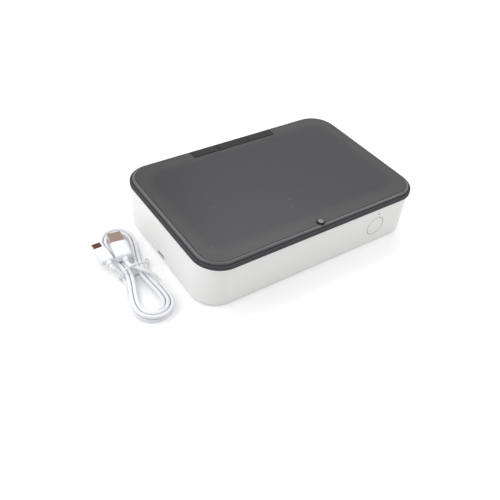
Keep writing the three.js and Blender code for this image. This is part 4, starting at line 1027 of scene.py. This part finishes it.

# %% [markdown]
# The lid is smoked plastic, dyed through. Over the pale deck a little light would come back through
# it, so a painted paler band of that light lies outside the tub's outline. The shoulder gets a
# painted highlight, a paler tone all round, and the rim gets painted shading and a duller finish. A
# few bright specks of dust lie on top. The lid is drawn as an opaque finish with these tones,
# because that keeps the view under it closed.

# %% Smoked lid
# the deck band and the shoulder tone are painted light, and the rim tone is painted shading
panel_tone, painted_deck_light_tone = colour(46, 45, 49), colour(59, 57, 58)
painted_shoulder_highlight, painted_rim_shading = colour(94, 93, 96), colour(64, 64, 67)
dust_tone = colour(150, 148, 150)
lid_shine, lid_rough_low, lid_rough_high = 0.3, 0.28, 0.34
rim_roughness = 0.85
band_width, shoulder_fade = 11 * MM, 0.2 * MM
rim_fall, rim_fade = 0.8 * MM, 1.4 * MM


def smoked_finish():
    material, nodes_of, link, shader, place = finish_of("lid_smoky", panel_tone, lid_rough_low)
    shader.inputs["Specular IOR Level"].default_value = lid_shine
    grain = use_group(nodes_of, link, moulding_grain, place, scale=3000,
                      rough_low=lid_rough_low, rough_high=lid_rough_high)
    dust = use_group(nodes_of, link, dust_specks, place, scale=230, size=0.07, amount=0.05)
    deck_light_mask = outside_of(nodes_of, link, place, cavity_half_x, cavity_half_y, cavity_radius,
                           band_width)
    shoulder_highlight_mask = outside_of(nodes_of, link, place, lid_half_x - panel_inset,
                             lid_half_y - panel_inset, lid_radius - panel_inset,
                             shoulder_fade)
    rim_shading_and_matt_mask = below_level(nodes_of, link, place, lid_top - rim_fall, rim_fade)
    # painted light: a paler band where light from the deck would show through the lid
    tone = mixed(nodes_of, link, deck_light_mask, panel_tone, painted_deck_light_tone)
    tone = mixed(nodes_of, link, dust.outputs["Mask"], tone, dust_tone)
    # painted highlight: the shoulder is coloured paler all round
    tone = mixed(nodes_of, link, shoulder_highlight_mask, tone, painted_shoulder_highlight)
    # painted shading on the rim; the same mask also makes the rim duller through its roughness
    link(mixed(nodes_of, link, rim_shading_and_matt_mask, tone, painted_rim_shading), shader.inputs["Base Color"])
    matt = nodes_of.new("ShaderNodeMix")
    matt.inputs[3].default_value = rim_roughness
    link(rim_shading_and_matt_mask, matt.inputs[0])
    link(grain.outputs["Roughness"], matt.inputs[2])
    link(matt.outputs[0], shader.inputs["Roughness"])
    relief(nodes_of, link, grain.outputs["Height"], shader, 0.1, relief_depth)
    return material


lid_smoky = smoked_finish()
print("lid finish:", lid_smoky.name)

# %% [markdown]
# The rest are small parts. The tray, the feet, the chips and the lamp holders are plain grey
# plastic, rubber, black plastic and ceramic. Screws and the socket are steel, and the
# reflector is a brighter foil.

# %% Greys, black, ceramic and metals
tray_grey = grained("tray_grey", colour(120, 121, 126), 0.42, 0.5)
rubber_black = grained("rubber_black", colour(42, 42, 44), 0.68, 0.8, scale=1500, strength=0.3)
black_part = grained("black_part", colour(34, 34, 36), 0.38, 0.46)
ceramic = grained("ceramic", colour(226, 222, 212), 0.3, 0.4, scale=1800)
steel = streaked("steel", colour(190, 191, 194), 0.24, 0.34)
reflector_foil = streaked("reflector_foil", colour(215, 217, 220), 0.08, 0.16, across=700)
print("metals:", steel.name, reflector_foil.name)

# %% [markdown]
# Some small finishes have two tones, both painted light. The stud has a painted shade ring round
# its middle, which carries a painted highlight, and the button face is painted darker towards its
# edge, as shade of the hairline gap round it. Both are round, so the distance from the middle line
# of the piece tells where the second tone begins.

# %% Stud and button finish
stud_painted_highlight, stud_painted_shade = colour(122, 122, 125), colour(12, 12, 14)
stud_pale, stud_dark = 0.6 * stud_radius, 0.8 * stud_radius
button_face, button_painted_gap_shade = colour(240, 240, 238), colour(150, 150, 148)


def set_tones(material, share, first, second):
    link = material.node_tree.links.new
    nodes_of = material.node_tree.nodes
    link(mixed(nodes_of, link, share, first, second),
         nodes_of["Principled BSDF"].inputs["Base Color"])
    return material


def own_place(material, output="Object"):
    nodes_of, link = material.node_tree.nodes, material.node_tree.links.new
    return nodes_of, link, nodes_of.new("ShaderNodeTexCoord").outputs[output]


def stud_finish():
    material = grained("stud_grey", stud_painted_highlight, 0.2, 0.3, strength=0.05, shine=0.25)
    nodes_of, link, place = own_place(material)
    # painted highlight in the middle of the stud, painted shade in a ring round it
    edge = away_from(nodes_of, link, place, (0, stud_y, 0), (1, 1, 0), stud_pale, stud_dark)
    return set_tones(material, edge, stud_painted_highlight, stud_painted_shade)


def button_finish():
    material = grained("button_white", button_face, 0.34, 0.42, strength=0.1)
    nodes_of, link, place = own_place(material)
    # painted shade of the hairline gap, darker towards the edge of the button face
    edge = away_from(nodes_of, link, place, (button_x, 0, button_z), (1, 0, 1),
                     button_radius - button_edge, button_radius - button_edge / 2)
    return set_tones(material, edge, button_face, button_painted_gap_shade)


stud_grey, button_white = stud_finish(), button_finish()
print("two tones:", stud_grey.name, button_white.name)

# %% [markdown]
# The hinge pieces get painted shade, nearly black, at their front edge, where the gap to the lid
# lies. The metal of the plugs gets a painted reflection: brown on top and pale on its sides, as
# polished metal looks with something dark above it. The way a face points tells top from side.

# %% Hinge and plug finish
hinge_top, hinge_painted_gap_shade = colour(24, 24, 27), colour(3, 3, 4)
front_dark, front_clear = 0.7 * MM, 1.2 * MM
side_metal, c_top_painted_reflection = colour(205, 190, 170), colour(100, 68, 68)
a_top_painted_reflection = colour(150, 132, 120)
upward_level, upward_fade = 0.8, 0.2


def hinge_finish():
    material = grained("hinge_grey", hinge_top, 0.5, 0.6, shine=0.25)
    nodes_of, link, place = own_place(material)
    split = nodes_of.new("ShaderNodeSeparateXYZ")
    # painted shade: the front edge of each block turns nearly black towards the gap
    fade = nodes_of.new("ShaderNodeMapRange")
    fade.inputs["From Min"].default_value = hinge_low.y + front_clear
    fade.inputs["From Max"].default_value = hinge_low.y + front_dark
    link(place, split.inputs[0])
    link(split.outputs["Y"], fade.inputs["Value"])
    return set_tones(material, fade.outputs["Result"], hinge_top, hinge_painted_gap_shade)


def plug_finish(name, painted_reflection_on_top):
    material = streaked(name, side_metal, 0.22, 0.32)
    nodes_of, link, facing = own_place(material, "Normal")
    # painted reflection: faces that point up take the darker top tone
    facing_up = below_level(nodes_of, link, facing, upward_level, upward_fade)
    return set_tones(material, facing_up, painted_reflection_on_top, side_metal)


hinge_grey = hinge_finish()
plug_c_metal = plug_finish("plug_c_metal", c_top_painted_reflection)
plug_a_metal = plug_finish("plug_a_metal", a_top_painted_reflection)
print("two tones:", hinge_grey.name, plug_c_metal.name, plug_a_metal.name)

# %% [markdown]
# The boards are green with paler copper tracks under the varnish, which a brick pattern gives
# well enough at this size. The coil of the transformer is wound copper, one fine wave a turn.
# The lamp and the pip of the indicator are glass and clear plastic.

# %% Boards, copper and glass
board_tone, copper_tone = colour(30, 92, 58), colour(184, 110, 60)
glass_bend = 1.46


def board_finish():
    material, nodes_of, link, shader, place = finish_of("board_green", board_tone, 0.32,
                                                        coat=0.3)
    tracks = nodes_of.new("ShaderNodeTexBrick")
    tracks.inputs["Scale"].default_value = 260
    tracks.inputs["Mortar Size"].default_value = 0.08
    tracks.inputs["Color1"].default_value = colour(28, 88, 55)
    tracks.inputs["Color2"].default_value = colour(32, 98, 62)
    tracks.inputs["Mortar"].default_value = colour(52, 122, 80)
    link(place, tracks.inputs["Vector"])
    link(tracks.outputs["Color"], shader.inputs["Base Color"])
    return material


def wound_finish():
    material, nodes_of, link, shader, place = finish_of("copper_wound", copper_tone, 0.3,
                                                        metallic=1.0)
    turns = nodes_of.new("ShaderNodeTexWave")
    turns.bands_direction = "Y"
    turns.inputs["Scale"].default_value = 900
    link(place, turns.inputs["Vector"])
    relief(nodes_of, link, turns.outputs["Fac"], shader, 0.8, 5 * relief_depth)
    return material


def glass_finish(name, tone, low, high, clearness):
    material = grained(name, tone, low, high, scale=400, strength=0.02)
    shader = material.node_tree.nodes["Principled BSDF"]
    shader.inputs["Transmission Weight"].default_value = clearness
    shader.inputs["IOR"].default_value = glass_bend
    return material


board_green, copper_wound = board_finish(), wound_finish()
lamp_glass = glass_finish("lamp_glass", colour(232, 236, 244), 0.04, 0.08, clearness=0.85)
lens_clear = glass_finish("lens_clear", colour(236, 238, 240), 0.08, 0.14, clearness=0.4)
print("finishes:", len(bpy.data.materials))

# %% [markdown]
# Every shaped piece now gets its finish and is tied to the body it moves with. It also names
# the engineering solids that it stands in for.

# %% Finish the shaped pieces
finish(housing_shell, shell_white, "housing", "shell_white", "outer_shell")
finish(lid_moulding, lid_smoky, "lid", "lid_smoky", "lid")
finish(inner_tray, tray_grey, "housing", "tray_grey", "inner_tray")
finish(tray_ribs, tray_grey, "housing", "tray_grey")
finish(power_disc, button_white, "button", "shell_white", "power_button")
finish(lid_finger_stud, stud_grey, "lid", "stud_grey", "lid_stud")
finish(c_mould, cord_white, "housing", "cord_white", "plug_c_mould")
finish(a_mould, cord_white, "housing", "cord_white", "plug_a_mould")
finish(c_shell, plug_c_metal, "housing", "steel", "plug_c_shell")
finish(a_shell, plug_a_metal, "housing", "steel", "plug_a_shell")
finish(hank_tie, cord_white, "housing", "cord_white", "cord_tie")
finish(charging_cord, cord_white, "housing", "cord_white", "cord_hank", "cord_from_plug_c",
       "cord_from_plug_a")
print("shaped pieces finished")

# %% [markdown]
# The small parts inside keep their engineering shape, because they are already what the real
# ones are: plates, screws, blocks and a tube. Welding joins their triangles, a fine bevel
# breaks the sharp edges, and weighted normals keep the flats flat.

# %% Dress the engineering pieces
weld_distance = 0.002 * MM
bevel_angle = math.radians(40)
thin_edge, fine_edge, small_edge, soft_edge = 0.08 * MM, 0.1 * MM, 0.15 * MM, 0.2 * MM
cast_edge, wound_edge = 0.3 * MM, 0.4 * MM


def dress(material, slot, width, *names):
    for name in names:
        piece = nodes[name]
        piece.data.materials.clear()
        piece.data.materials.append(material)
        weld = piece.modifiers.new("weld", "WELD")
        weld.merge_threshold = weld_distance
        edge = piece.modifiers.new("edge", "BEVEL")
        edge.width = width
        edge.segments = 2
        edge.limit_method = "ANGLE"
        edge.angle_limit = bevel_angle
        edge.harden_normals = False
        piece.data.shade_smooth()
        weight = piece.modifiers.new("even_shading", "WEIGHTED_NORMAL")
        weight.keep_sharp = True


dress(hinge_grey, "hinge_grey", small_edge, "hinge_block_left", "hinge_block_right",
      "hinge_leaf")
dress(shell_white, "shell_white", soft_edge, "bottom_cover")
dress(steel, "steel", thin_edge, "hinge_pin", "cover_screw_1", "cover_screw_2", "cover_screw_3",
      "cover_screw_4", "leaf_screw_1", "leaf_screw_2", "lid_magnet", "usb_socket")
dress(rubber_black, "rubber_black", soft_edge, *[n for n in nodes if n.startswith("rubber_foot")])
dress(lamp_glass, "lamp_glass", fine_edge, "uv_lamp_tube")
dress(steel, "steel", fine_edge, "lamp_cap_left", "lamp_cap_right")
dress(ceramic, "ceramic", cast_edge, "lamp_holder_left", "lamp_holder_right")
dress(reflector_foil, "reflector_foil", fine_edge, "reflector")
dress(board_green, "board_green", fine_edge, "main_board", "driver_board", "button_board")
dress(black_part, "black_part", small_edge, "controller_chip", "tact_switch", "switch_plunger")
dress(copper_wound, "copper_wound", wound_edge, "driver_transformer")
dress(lens_clear, "lens_clear", thin_edge, "indicator_lens", "indicator_led", "lid_sensor")
print("left as they are:", sorted(n for n in nodes if not nodes[n].hide_render
                                  and not nodes[n].modifiers))

# %% [markdown]
# The box stands in a plain white studio. The surroundings light it evenly from all sides.
# Where the camera, a gloss or a glass looks straight at them, they show as plain white,
# without adding any light to the object.

# %% Surroundings
fill_strength = 0.56


def seen_directly(nodes_of, link):
    path = nodes_of.new("ShaderNodeLightPath")
    share = path.outputs["Is Camera Ray"]
    for title in ("Is Glossy Ray", "Is Transmission Ray"):
        either = nodes_of.new("ShaderNodeMath")
        either.operation = "MAXIMUM"
        link(share, either.inputs[0])
        link(path.outputs[title], either.inputs[1])
        share = either.outputs[0]
    return share


world = bpy.data.worlds.new("studio")
bpy.context.scene.world = world
world.use_nodes = True
nodes_of = world.node_tree.nodes
link = world.node_tree.links.new
ambient = nodes_of["Background"]
ambient.inputs["Color"].default_value = colour(254, 254, 255)
ambient.inputs["Strength"].default_value = fill_strength
seen = nodes_of.new("ShaderNodeBackground")
seen.inputs["Color"].default_value = (1, 1, 1, 1)
seen.inputs["Strength"].default_value = 1
choice = nodes_of.new("ShaderNodeMixShader")
link(seen_directly(nodes_of, link), choice.inputs[0])
link(ambient.outputs[0], choice.inputs[1])
link(seen.outputs[0], choice.inputs[2])
link(choice.outputs[0], nodes_of["World Output"].inputs["Surface"])
print("fill light of the surroundings:", fill_strength)

# %% [markdown]
# The floor is a flat pale sheet. It keeps the soft shadow of the object, is lifted to white
# where it is seen, and is lifted more with distance, so that it has no visible horizon.

# %% Floor
floor_half = 3
floor_lift, far_lift = 0.25, 1
near_floor, far_floor = 0.5, 1.4
bm = bmesh.new()
bmesh.ops.create_grid(bm, x_segments=2, y_segments=2, size=floor_half)
studio_floor = piece_from(bm, "studio_floor")
floor_white, nodes_of, link, shader, place = finish_of("floor_white", colour(232, 232, 232), 0.9)
shader.inputs["Emission Color"].default_value = (1, 1, 1, 1)
away = nodes_of.new("ShaderNodeVectorMath")
away.operation = "LENGTH"
spread = nodes_of.new("ShaderNodeMapRange")
spread.inputs["From Min"].default_value = near_floor
spread.inputs["From Max"].default_value = far_floor
spread.inputs["To Min"].default_value = floor_lift
spread.inputs["To Max"].default_value = far_lift
lift = nodes_of.new("ShaderNodeMath")
lift.operation = "MULTIPLY"
link(place, away.inputs[0])
link(away.outputs["Value"], spread.inputs["Value"])
link(spread.outputs["Result"], lift.inputs[1])
link(seen_directly(nodes_of, link), lift.inputs[0])
link(lift.outputs[0], shader.inputs["Emission Strength"])
studio_floor.data.materials.append(floor_white)
print("floor", 2 * floor_half, "m across")

# %% [markdown]
# Four soft square lights shape the box. A large one on the left makes the left wall brighter
# than the front. Smaller ones to the right, above and behind fill the front wall, the lid and
# its far edges. Large soft lights are chosen because the picture has no hard shadow.

# %% Lights
box_middle = (0, 0, 0.03)


def soft_light(name, place, aim, size, power):
    data = bpy.data.lights.new(name, "AREA")
    data.shape = "SQUARE"
    data.size = size
    data.energy = power
    lamp = bpy.data.objects.new(name, data)
    bpy.context.scene.collection.objects.link(lamp)
    lamp.location = place
    lamp.rotation_euler = (Vector(aim) - Vector(place)).to_track_quat("-Z", "Y").to_euler()


soft_light("light_left", (-1.5, 0.5, 0.9), box_middle, size=1.4, power=11)
soft_light("light_right", (0.9, -0.5, 1.1), box_middle, size=0.6, power=5.6)
soft_light("light_above", (-0.43, 0.76, 1.23), box_middle, size=0.6, power=5.6)
soft_light("light_behind", (0.6, 0.58, 1.19), box_middle, size=0.7, power=4.2)
bpy.context.scene.view_settings.view_transform = "Standard"
print("lights:", len(bpy.data.lights))
